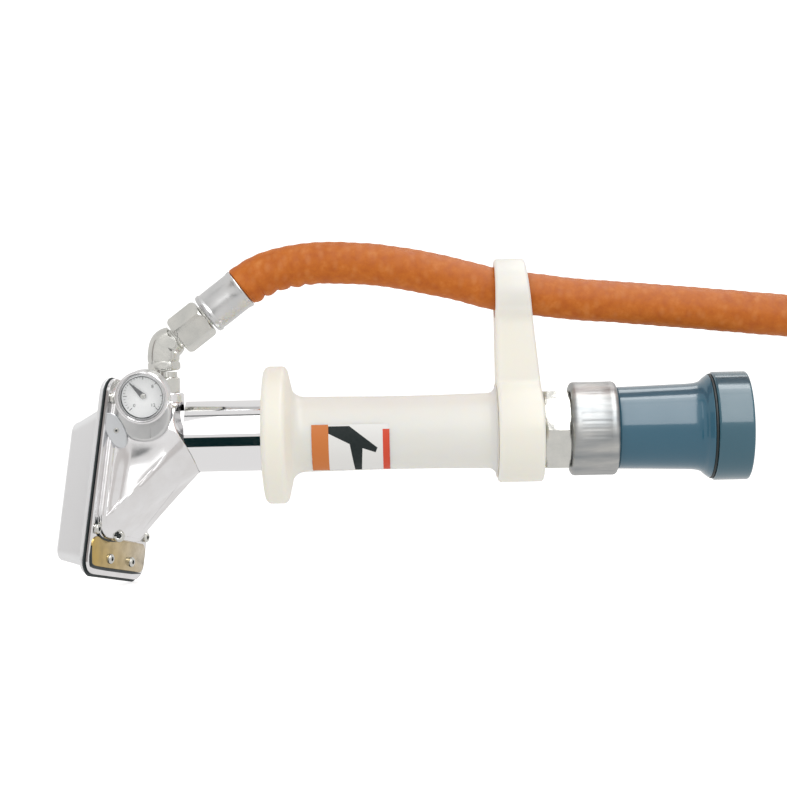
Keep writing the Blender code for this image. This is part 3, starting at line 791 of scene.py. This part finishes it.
def housing_rings():
    base, inner_base = base_ring(0.0, 9.0), base_ring(2.5, 7.0)
    neck = filled_outline(neck_ring(SEAT_R, -1.0))
    plate, edge = plate_row(0.0), plate_row(0.8)
    flange = [(1.0, *edge), (1.8, *plate), (3.2, *plate), (4.0, *edge)]
    foot = (4.0, 38.0, 58.0, 18.0, BASE_SHIFT)
    flange += eased_step(foot, (8.6, 34.2, 54.2, 14.2, BASE_SHIFT), False, 6)
    rings = [filled_outline([PLATE @ p for p in ring]) for ring in lofted(flange)]
    steps = 44
    inward = PLATE.to_3x3() @ Vector((0, 1, 0))
    middle = PLATE @ Vector((0, 0, 0))
    for i in range(steps + 1):
        t = i / steps
        ring = []
        for low, high in zip(base, neck):
            point = low.lerp(high, t)
            side = (point - middle).dot(inward)
            flat = smooth_step(0.55, 0.95, abs(side) / (BASE_HALF_W + (NECK_R - BASE_HALF_W) * t))
            depth = panel_depth(point.x, point.z, (point - low).length) * flat
            ring.append(point - inward * depth * (1 if side > 0 else -1))
        rings.append(ring)
    bore = TUBE_R + GAP
    inner_neck = filled_outline(neck_ring(bore, -4.0))
    for shift, radius in ((-0.3, SEAT_R - 0.1), (0.0, bore + 0.1), (0.0, bore)):
        rings.append(filled_outline(neck_ring(radius, shift)))
    for i in range(7):
        rings.append([a.lerp(b, i / 6) for a, b in zip(inner_neck, inner_base)])
    rings.append(base_ring(2.5, 1.0))
    return rings


def on_wall(tree, x, z, out=0.0):
    """Point of the housing's near wall seen along +Y, moved out by a distance."""
    hit = tree.ray_cast(Vector((x, -200.0, z)), Vector((0, 1, 0)))
    return hit[0] + hit[1] * out


def add_bead(name, tree, first, last, radius):
    """Small weld bead laid along the near wall from one (x, z) point to another."""
    route = []
    for i in range(24):
        x, z = Vector(first).lerp(Vector(last), i / 24)
        route.append(on_wall(tree, x, z, -0.35 * radius))
    radii = []
    for i, point in enumerate(route):
        end = min(i, len(route) - 1 - i)
        radii.append(radius * min(1.0, 0.25 + end / 5) * (1.0 + 0.08 * noise.noise(point * 0.5)))
    piece(name, rings_to_mesh(sweep_rings(route, radii, 10), False), CHROME)


def add_housing():
    bm = rings_to_mesh(housing_rings(), True)
    bmesh.ops.recalc_face_normals(bm, faces=bm.faces)
    tree = BVHTree.FromBMesh(bm)
    stand_in("rear_housing", bm, CHROME, "polished_chrome", sharp=34)
    add_bead("seam_weld", tree, (-216.0, -59.0), WELD_HIGH, 0.9)
    add_bead("edge_weld", tree, (-194.0, -71.5), (-160.0, -32.0), 0.8)
    boss = [(0.0, 0.0), (0.0, 20.0), *arc((11.5, 17.5), (2.5, 2.5), 90, 0, 6), (14.0, 8.0), (14.0, 0.0)]
    piece("gauge_boss", lathe(boss), SATIN, place=facing_place((-185.0, -22.5, 18.0)))
    post = [(0.0, 0.0), (0.0, 12.0), *arc((12.0, 10.5), (1.5, 1.5), 90, 0, 4), (13.5, 0.0)]
    piece("inlet_boss", lathe(post, 64), CHROME, place=upright_place((ELBOW[0], 0.0, 19.6)))
    add_gusset()
    turn = PLATE.to_3x3().to_4x4() @ rotation(-60, "Z")
    spot = on_wall(tree, -207.5, -72.0)
    add_cap_screw("housing_bolt", Matrix.Translation(spot) @ turn, 4.6, 3.2)
    # Thin sheet on the flange's lower back that carries the painted gold reflection.
    pad = [(4.1, 43.0, 10.9, 7.0, -55.5), (4.6, 43.0, 10.9, 7.0, -55.5), (4.8, 42.6, 10.5, 6.6, -55.5)]
    piece("gold_reflection_sheet", rings_to_mesh(lofted(pad), False), PAINTED_GOLD_REFLECTION, place=PLATE)
    below = [(-43.6, -52.0), (-43.2, -61.0), (-39.0, -66.2), (-20.0, -67.4), (20.0, -67.4), (39.0, -67.0)]
    above = [(-40.5, -31.0), (-38.4, -38.5), (-33.0, -44.2), (-22.0, -46.2), (-6.0, -46.4)]
    # Painted shadow: a black line along the lower edge and left end of the gold sheet.
    add_line("painted_shadow_line", below, 1.1)
    # A dark line round the lower corner of the housing's base.
    add_line("base_dark_line", above, 0.9)


def add_line(name, points, radius):
    """Thin black line on the back of the flange, through (across, up) points."""
    line = smooth_curve([PLATE @ Vector((4.6, y, z)) for y, z in points], 10)
    radii = [radius * min(1.0, 0.3 + min(i, len(line) - 1 - i) / 12) for i in range(len(line))]
    piece(name, rings_to_mesh(sweep_rings(line, radii, 12), False), BLACK)


def add_cap_screw(name, place, radius, height, slot=None, replaces=()):
    """Low domed screw with a hexagon socket, standing along local +X."""
    count = 48
    rings = [circle(radius, 0.0, count), circle(radius, height * 0.35, count)]
    for a in (20, 40, 60, 80, 90):
        rim, rise = math.cos(math.radians(a)), math.sin(math.radians(a))
        rings.append(circle(radius * (0.65 + 0.35 * rim), height * (0.35 + 0.65 * rise), count))
    rings += [circle(radius * 0.52, height, count)]
    rings += [hexagon(radius * 0.46, height - 0.15), hexagon(radius * 0.46, height * 0.4)]
    piece(name, rings_to_mesh(rings, False), ZINC, place=place, slot=slot, replaces=replaces)
    # The socket's floor is painted shade: a black disc that darkens the bottom of the recess.
    low, high, reach = height * 0.4, height * 0.45, radius * 0.44
    floor = lathe([(low, 0.0), (low, reach), (high, reach), (high, 0.0)], 24)
    piece(f"{name}_socket", floor, BLACK, place=place)


def add_screws():
    spots = [(-39.5, 56.7), (-39.5, -39.3), (39.5, 56.7), (39.5, -39.3), (-14.0, -59.5), (20.0, -59.5)]
    for number, (across, up) in enumerate(spots, start=1):
        name = f"flange_screw_{number}"
        place = PLATE @ Matrix.Translation((4.3, across, up))
        add_cap_screw(name, place, 3.8, 3.0, slot="zinc_plate", replaces=[name])


def add_gusset():
    """Flat tab between the flange and the gauge's boss, held by one small screw."""
    middle = (-205.5, 6.5)
    outline = []
    for across, up in arc((0.0, 0.0), (7.6, 13.0), 0, 351, 39):
        outline.append((middle[0] + across - 0.25 * up, middle[1] + up - 0.2 * across))
    rings = []
    for y, inset in ((-32.0, 0.0), (-37.2, 0.0), (-37.9, 0.06)):
        centre = Vector((middle[0], y, middle[1]))
        rings.append([Vector((x, y, z)).lerp(centre, inset) for x, z in outline])
    piece("gauge_tab", rings_to_mesh(rings, False), TAB)
    add_cap_screw("tab_screw", facing_place((-204.8, -37.9, 6.4)), 2.0, 0.9)


# Steam inlet and gauge


def add_nipple():
    nipple = [circle(6.5, 0.0, 48), circle(6.5, 13.0, 48)]
    nipple += chamfered_hex(13.0, 24.5, 10.2, 7.0, 1.4)[:-2]
    nipple += [circle(r, up, 48) for r, up in ((7.4, 25.0), (7.2, 29.0), (4.0, 29.0), (4.0, 0.0))]
    place = upright_place((ELBOW[0], 0.0, 20.0))
    stand_in("inlet_nipple", rings_to_mesh(nipple, True), ZINC, "satin_steel", place=place)


def add_elbow():
    """Bent body that swells round the corner, with flattened sides and a hexagon below."""
    corner, way, x = Vector(ELBOW), FITTING_WAY, ELBOW[0]
    knots = [(x - 2.0, 0.0, 49.3), (x - 2.6, 0.0, 55.0), (x - 2.6, 0.0, 62.0)]
    knots += [corner + Vector((-0.8, 0.0, 1.2)), corner + way * 5.5, corner + way * 9.2]
    curve = smooth_curve(knots, 8)
    radii = []
    for i in range(len(curve)):
        t = i / (len(curve) - 1)
        radii.append(9.0 + 3.0 * smooth_step(0.12, 0.30, t) - 2.6 * smooth_step(0.70, 1.0, t))
    radii += [8.4, 8.4]
    curve += [corner + way * 9.4, corner + way * 21.5]

    def flatten(i, out):
        return min(0.0, 9.6 / max(abs(out.y), 0.01) - radii[i])

    body = rings_to_mesh(sweep_rings(curve, radii, 72, flatten), False)
    stand_in("inlet_elbow", body, ZINC, "satin_steel", sharp=24)
    flats = rings_to_mesh(chamfered_hex(50.2, 57.0, 12.2, 8.0, 1.6), True)
    spot = upright_place((x - 2.4, 0.0, 0.0)) @ rotation(30, "X")
    piece("elbow_flats", flats, ZINC, place=spot)


def add_hose_fitting():
    stem = [(22.0, 0.0), (22.0, 8.4), (37.7, 8.4), (37.7, 0.0)]
    slope = turned_place(ELBOW, FITTING_RISE)
    stand_in("hose_stem", lathe(stem, 48), ZINC, "satin_steel", place=slope)
    nut = rings_to_mesh(chamfered_hex(0.0, 25.5, 15.6, 8.7, 2.6), True)
    spot = slope @ Matrix.Translation((10.8, 0.0, 0.0)) @ rotation(-16, "X")
    stand_in("steam_swivel_nut", nut, ZINC, "zinc_plate", body="steam_nut", place=spot)
    shell = [(38.0, 0.0), (38.0, 12.6), *arc((40.2, 13.4), (2.2, 2.4), 180, 90, 5)]
    shell += [(41.4, 15.9), (42.4, 15.3), (43.2, 15.0), (44.4, 15.2), (52.0, 15.3), (60.0, 15.2)]
    shell += [(67.4, 15.3), (68.2, 15.7), *arc((70.0, 14.9), (1.1, 1.1), 110, 0, 5), (71.1, 0.0)]
    stand_in("hose_ferrule", lathe(shell), SATIN, "satin_steel", place=slope)


def raised(outline, low, high):
    """Flat body between two heights over an outline of (across, up) points."""
    return rings_to_mesh([[Vector((h, a, b)) for a, b in outline] for h in (low, high)], False)


def dial_way(angle):
    """Direction (across, up) from the dial's centre at an angle from twelve o'clock."""
    return Vector((math.sin(math.radians(angle)), math.cos(math.radians(angle))))


def dial_bar(angle, start, end, half):
    """Outline of a tick that points out from the dial's centre."""
    out = dial_way(angle)
    side = Vector((out.y, -out.x))
    corners = [(start, -half), (end, -half), (end, half), (start, half)]
    return [tuple(out * r + side * s) for r, s in corners]


def add_dial_number(text, angle):
    curve = bpy.data.curves.new("number", "FONT")
    curve.body = text
    curve.size = 3.4
    curve.align_x = curve.align_y = "CENTER"
    curve.extrude = 0.05
    made = add_object("number", curve)
    mesh = bpy.data.meshes.new_from_object(made)
    bpy.data.objects.remove(made)
    bm = bmesh.new()
    bm.from_mesh(mesh)
    out = dial_way(angle) * 9.6
    stand = Matrix(((0, 0, 1, 14.08), (1, 0, 0, out.x), (0, 1, 0, out.y), (0, 0, 0, 1)))
    piece(f"dial_number_{text}", bm, INK, place=GAUGE @ stand)


def add_gauge():
    place, r = GAUGE, 18.5
    cup = [(0.0, 0.0), (0.0, 16.5), *arc((1.6, 16.9), (1.6, 1.6), 180, 90, 5)]
    cup += [(19.0, r), (19.4, r - 0.4), (20.4, r - 0.4), (20.8, r), (22.0, r)]
    cup += [(22.0, 16.4), (4.0, 16.4), (4.0, 0.0)]
    stand_in("gauge_case", lathe(cup), SATIN, "satin_steel", place=place)
    dial = [(13.0, 0.0), (13.0, 16.1), (14.0, 16.1), (14.0, 0.0)]
    stand_in("gauge_dial", lathe(dial), DIAL, "dial_white", place=place)
    window = [(19.9, 0.0), (19.9, 16.1), (21.6, 16.1), (21.9, 8.0), (22.0, 0.0)]
    stand_in("gauge_window", lathe(window), GLASS, "window_glass", place=place)
    bezel = [(22.3, 15.2), (22.3, 18.7), (22.6, 19.2), (23.6, 19.4)]
    bezel += [*arc((24.6, 17.6), (1.9, 1.8), 90, -20, 8), (25.2, 15.9), (24.0, 15.2)]
    stand_in("gauge_bezel", lathe(bezel), CHROME, "polished_chrome", place=place)
    # Painted shadow: a thin black ring under the bezel that darkens the rim of the dial.
    ring = [(22.05, 14.7), (22.05, 15.3), (22.5, 15.3), (22.5, 14.7)]
    piece("bezel_shadow_ring", lathe(ring), BLACK, place=place)
    stem = [(0.0, 0.0), (0.0, 6.5), (2.7, 6.5), (2.7, 0.0)]
    spot = facing_place((-182.0, -34.0, 17.0))
    stand_in("gauge_stem", lathe(stem, 48), SATIN, "satin_steel", place=spot)


def add_dial():
    """Ticks round three quarters of the dial, and a number at every other long one."""
    for i in range(31):
        long = i % 5 == 0
        bar = dial_bar(DIAL_START + 9 * i, 12.0 if long else 13.2, 14.6, 0.22 if long else 0.12)
        piece(f"dial_tick_{i}", raised(bar, 14.02, 14.1), INK, place=GAUGE)
    for i in range(0, 7, 2):
        add_dial_number(str(2 * i), DIAL_START + 45 * i)


def add_needle():
    tail = arc((0.0, 0.0), (2.2, 2.2), 70, 290, 16)
    needle = raised([(b, a) for a, b in tail + [(13.2, -0.22), (13.6, 0.0), (13.2, 0.22)]], 15.0, 15.5)
    rest = GAUGE @ rotation(NEEDLE_REST, "X")
    stand_in("gauge_needle", needle, INK, "needle_black", body="needle", place=rest)
    hub = [(14.4, 0.0), (14.4, 1.0), (15.5, 1.0), (15.5, 2.0), (15.9, 2.0), (16.2, 1.2), (16.3, 0.0)]
    piece("needle_hub", lathe(hub, 32), ZINC, "needle", GAUGE)


# Handle


def add_tube():
    outline = [(TUBE_START, TUBE_R), (TUBE_STEP, TUBE_R), (TUBE_STEP, 22.5), (118.0, 22.5), (118.0, 19.5)]
    outline += [(TUBE_STEP - 3.0, 19.5), (TUBE_STEP - 9.0, 24.5), (TUBE_START, 24.5)]
    stand_in("suction_tube", lathe(outline, 144), TUBE_CHROME, "polished_chrome")


WAIST = line_through(WAIST_KNOTS, 10)


def add_grip():
    outline = [(GRIP_START, TUBE_R + GAP), (GRIP_START, 38.0)]
    outline += arc((GRIP_START + 5.5, DISC_R - 6.0), (4.5, 6.0), 178, 90, 12)
    outline += arc((GRIP_START + 14.5, DISC_R - 5.0), (4.5, 5.0), 90, 15, 10)
    outline += arc((GRIP_START + 32.0, GRIP_R + 8.0), (10.5, 8.0), 180, 270, 14)
    outline += WAIST[2:-2]
    outline += arc((GRIP_END - 7.0, GRIP_R + 8.0), (7.0, 8.0), 275, 342, 10)
    outline += [(GRIP_END - 0.6, 35.0), (GRIP_END, 34.4), (GRIP_END, GRIP_BORE)]
    outline += [(TUBE_STEP + GAP, GRIP_BORE), (TUBE_STEP + GAP, TUBE_R + GAP)]
    stand_in("grip_sleeve", lathe(outline, 144), WHITE, "white_plastic")


def guide_half_width(z):
    """Half the guide's width at a height: foot circle, arm and eye, softly joined."""
    foot = math.sqrt(max(GUIDE_R**2 - z**2, 0.0))
    eye = math.sqrt(max(EYE_R**2 - (z - EYE_Z) ** 2, 0.0))
    fade = min(max((z - EYE_Z + 14.0) / 14.0, 0.0), 1.0)
    arm = GUIDE_ARM * (1.0 - fade) if z > 0 else 0.0
    return (foot**7 + eye**7 + arm**7) ** (1 / 7)


def add_guide():
    top = EYE_Z + EYE_R
    heights, eye_low = [], EYE_Z - EYE_R
    for low, high, count in ((-GUIDE_R, GUIDE_R, 60), (GUIDE_R, eye_low, 16), (eye_low, top, 48)):
        middle, half = (low + high) / 2, (high - low) / 2
        heights += [middle - half * math.cos(math.pi * (i + 0.5) / count) for i in range(count)]
    side = [(guide_half_width(z), z) for z in heights]
    outline = side + [(-y, z) for y, z in reversed(side)]

    def ring(inset, depth, front):
        points = []
        for y, z in outline:
            middle = 0.0 if z < GUIDE_R else min(z, EYE_Z)
            reach = math.hypot(y, z - middle)
            shrink = (reach - inset) / reach
            taper = min(max((z - 20.0) / (top - 20.0), 0.0), 1.0)
            back = GUIDE_FOOT + (GUIDE_TIP - GUIDE_FOOT) * taper
            x = GUIDE_START + depth if front else back - depth
            points.append(Vector((x, y * shrink, middle + (z - middle) * shrink)))
        return points

    edge = 2.6
    steps = arc((edge, edge), (edge, edge), 270, 180, 6)
    rings = [ring(inset, depth, True) for inset, depth in steps]
    rings += [ring(inset, depth, False) for inset, depth in reversed(steps)]
    guide = stand_in("hose_guide", rings_to_mesh(rings, False), WHITE, "white_plastic")
    for name, radius, height in (("foot_hole", GRIP_BORE, 0.0), ("eye_hole", EYE_BORE, EYE_Z)):
        bm = lathe([(60.0, 0.0), (60.0, radius), (130.0, radius), (130.0, 0.0)], 96)
        bmesh.ops.translate(bm, vec=(0.0, 0.0, height), verts=bm.verts)
        cut(guide, name, bm)


def cut(target, name, bm):
    """Takes a body from a piece for good."""
    tool = piece(name, bm, target.data.materials[0])
    modifier = target.modifiers.new(name, "BOOLEAN")
    modifier.operation = "DIFFERENCE"
    modifier.object = tool
    bpy.context.view_layer.update()
    solid = target.evaluated_get(bpy.context.evaluated_depsgraph_get())
    mesh = bpy.data.meshes.new_from_object(solid)
    target.modifiers.remove(modifier)
    target.data = mesh
    mesh.set_sharp_from_angle(angle=math.radians(30))
    bpy.data.objects.remove(tool)


# Label: bars on the grip's near side, with no words or sign


def grip_radius(x):
    """Radius of the grip's waist at x, from its own outline."""
    for (low, low_r), (high, high_r) in zip(WAIST, WAIST[1:]):
        if low <= x <= high:
            return low_r + (high_r - low_r) * (x - low) / (high - low)
    return WAIST[0][1]


def add_label_bar(name, corners, material, lift):
    """Film bar laid on the grip from (x, z) corners, its sides cut fine enough to follow it."""
    (x0, z0), (x1, z1), (x2, z2), (x3, z3) = corners
    along, across = 10, 24
    bm = bmesh.new()
    grids = []
    for rise in (lift, lift - 0.3):
        grid = []
        for i in range(along + 1):
            u = i / along
            low = Vector((x0, z0)).lerp(Vector((x1, z1)), u)
            high = Vector((x3, z3)).lerp(Vector((x2, z2)), u)
            row = []
            for j in range(across + 1):
                x, z = low.lerp(high, j / across)
                r = grip_radius(x) + rise
                row.append(bm.verts.new((x, -math.sqrt(max(r * r - z * z, 0.0)), z)))
            grid.append(row)
        grids.append(grid)
    top, under = grids
    for i in range(along):
        for j in range(across):
            bm.faces.new((top[i][j], top[i + 1][j], top[i + 1][j + 1], top[i][j + 1]))
            bm.faces.new((under[i][j], under[i][j + 1], under[i + 1][j + 1], under[i + 1][j]))
    for i in range(along):
        for j in (0, across):
            bm.faces.new((top[i][j], top[i + 1][j], under[i + 1][j], under[i][j]))
    for j in range(across):
        for i in (0, along):
            bm.faces.new((top[i][j], top[i][j + 1], under[i][j + 1], under[i][j]))
    piece(name, bm, material, slot="label_film")


def add_label():
    low, high, first, last = -26.9, 7.3, -63.0, -5.5
    bars = {
        "field": (((first, low), (last, low), (last, high), (first, high)), FILM, 0.12),
        "orange": (((first, low), (-50.5, low), (-50.5, high), (first, high)), ORANGE_FILM, 0.2),
        "block": (((-50.5, 0.7), (-35.0, -7.3), (-35.0, 6.0), (-50.5, 6.0)), BLACK_FILM, 0.2),
        "slant": (((-35.0, -7.3), (-16.0, -13.8), (-14.5, -10.3), (-35.0, 6.0)), BLACK_FILM, 0.2),
        "leg": (((-31.5, low), (-26.5, low), (-25.5, -9.0), (-35.0, -6.8)), BLACK_FILM, 0.24),
        "red": (((-10.5, low), (last, low), (last, 3.4), (-10.5, 3.4)), RED_FILM, 0.2),
    }
    for name, (corners, material, lift) in bars.items():
        add_label_bar(f"label_{name}", corners, material, lift)


# Coupling and cuff


def add_coupling():
    start = GUIDE_FOOT + GAP
    spigot = [(129.0, 27.0), (149.0, 27.0), (149.5, 26.5), (149.5, 19.5)]
    spigot += [(118.3, 19.5), (118.3, GRIP_BORE), (start, GRIP_BORE)]
    rings = chamfered_hex(start, 129.0, 33.0, 27.0, 2.4)[:-2]
    rings += [circle(r, x, 48) for x, r in spigot]
    stand_in("hex_adapter", rings_to_mesh(rings, True), ZINC, "zinc_plate")
    seal = [(149.8, 20.0), (149.8, 25.5), (151.8, 25.5), (151.8, 20.0)]
    stand_in("swivel_seal", lathe(seal), BLACK, "black_rubber")
    add_nut()


def add_nut():
    """Coupling nut with a worn straight knurl between plain rims."""
    depth, sides = 0.3, 288

    def knurl(angle):
        wear = noise.noise(Vector((math.cos(angle), math.sin(angle), 0.4)) * 14.0)
        return -depth * (0.5 + 0.22 * math.cos(angle * 72) + 0.9 * wear)

    near = [(0.0, 32.6), (0.8, 34.0), (2.0, 34.8), (3.4, NUT_R), (6.4, NUT_R)]
    far = [(6.4, NUT_R), (3.2, NUT_R), (1.8, 34.7), (0.7, 33.8), (0.0, 32.4), (0.0, NUT_BORE)]
    knurled = [NUT_START + 7.4, NUT_START + 14.0, NUT_END - 14.0, NUT_END - 7.4]
    rings = [circle(r, NUT_START + x, sides) for x, r in near]
    rings += [circle(NUT_R - 0.1, x, sides, knurl) for x in knurled]
    rings += [circle(r, NUT_END - x, sides) for x, r in far] + [circle(NUT_BORE, NUT_START, sides)]
    stand_in("coupling_nut", rings_to_mesh(rings, True), KNURLED, "satin_steel", body="coupling_nut")


def add_cuff():
    start = NUT_END + GAP
    body = [(CUFF_START, CUFF_BORE), (CUFF_START, 27.0), (start, 27.0), (start, 29.6), (NUT_END + 1.4, 30.6)]
    body += line_through(CUFF_KNOTS, 7)
    body += [(233.3, 38.6), (233.3, 33.3), (CUFF_END, 33.3), (CUFF_END, CUFF_BORE)]
    stand_in("cuff", lathe(body, 144), BLUE, "blue_grey_rubber", body="cuff_swivel")
    seal = [(233.6, 33.6), (233.6, 38.6), (234.0, 39.2), (235.0, 39.2), (235.4, 38.6), (235.4, 33.6)]
    stand_in("cuff_seal", lathe(seal, 144), BLACK, "black_rubber", body="cuff_swivel")
    collar = [(235.7, 33.6), (235.7, 39.4), *arc((237.3, 39.0), (1.6, 1.6), 165, 90, 6), (259.4, 40.6)]
    collar += [*arc((260.4, 39.0), (1.6, 1.6), 90, 0, 6), (CUFF_END, 33.6)]
    stand_in("cuff_collar", lathe(collar, 144), PALE_BLUE, "pale_blue_rubber", body="cuff_swivel")


# Steam hose


def hose_wrinkle(along, out):
    """Radius change of the hose, mm: bulges on the underside by the ferrule, wraps and lumps."""
    start = 1.0 - smooth_step(34.0, 74.0, along)
    under = max(0.0, -out.z) ** 1.3
    crinkle = start * under * (2.2 * abs(math.sin(math.pi * along / 12.5)) ** 0.7 - 1.2)
    wrap = 0.16 * math.sin(2 * math.pi * (along / 9.5 + math.atan2(out.y, out.z) / (2 * math.pi)))
    lumps = 0.38 * noise.noise(Vector((along * 0.055, out.y * 1.4, out.z * 1.4)))
    return crinkle + wrap + lumps - 0.2


def add_hose():
    knots = [Vector((x, 0.0, z)) for x, z in HOSE_ROUTE]
    knots.insert(1, knots[0] + FITTING_WAY * 4.0)
    line = smooth_curve(knots, 14)
    travelled = [0.0]
    for a, b in zip(line, line[1:]):
        travelled.append(travelled[-1] + (b - a).length)
    radii = [HOSE_R - 0.2 - 1.2 * (1.0 - smooth_step(0.0, 1.5, s)) for s in travelled]

    def ripple(i, way):
        return hose_wrinkle(travelled[i], way) * smooth_step(0.0, 6.0, travelled[i])

    bm = rings_to_mesh(sweep_rings(line, radii, 72, ripple), False)
    hose = stand_in("steam_hose", bm, ORANGE, "orange_rubber", sharp=60)
    end, before = knots[-1], knots[-2]
    rise = math.degrees(math.atan2(end.z - before.z, end.x - before.x))
    place = turned_place(end, rise)
    shell = [(0.4, 0.0), (0.4, 15.6), (0.9, 16.4), (2.2, 16.4), (3.0, 15.6), (4.0, 15.3)]
    shell += [(14.0, 15.5), (26.0, 15.4), (27.2, 14.8), (28.0, 13.5), (28.0, 0.0)]
    ferrule = stand_in("end_ferrule", lathe(shell), SATIN, "satin_steel", place=place)
    tail = [(28.3, 0.0), (28.3, 8.4), (51.4, 8.4), (52.0, 7.8), (52.0, 4.5), (40.0, 4.5), (40.0, 0.0)]
    stem = stand_in("end_stem", lathe(tail, 48), SATIN, "satin_steel", place=place)
    rings = rings_to_mesh(chamfered_hex(0.0, 24.0, 16.5, 8.7, 2.4), True)
    nut_place = place @ Matrix.Translation((30.0, 0.0, 0.0))
    nut = stand_in("end_nut", rings, ZINC, "zinc_plate", body="end_nut_body", place=nut_place)


add_mouth()
add_gasket()
add_housing()
add_screws()
add_nipple()
add_elbow()
add_hose_fitting()
add_gauge()
add_dial()
add_needle()
add_tube()
add_grip()
add_guide()
add_label()
add_coupling()
add_cuff()
add_hose()
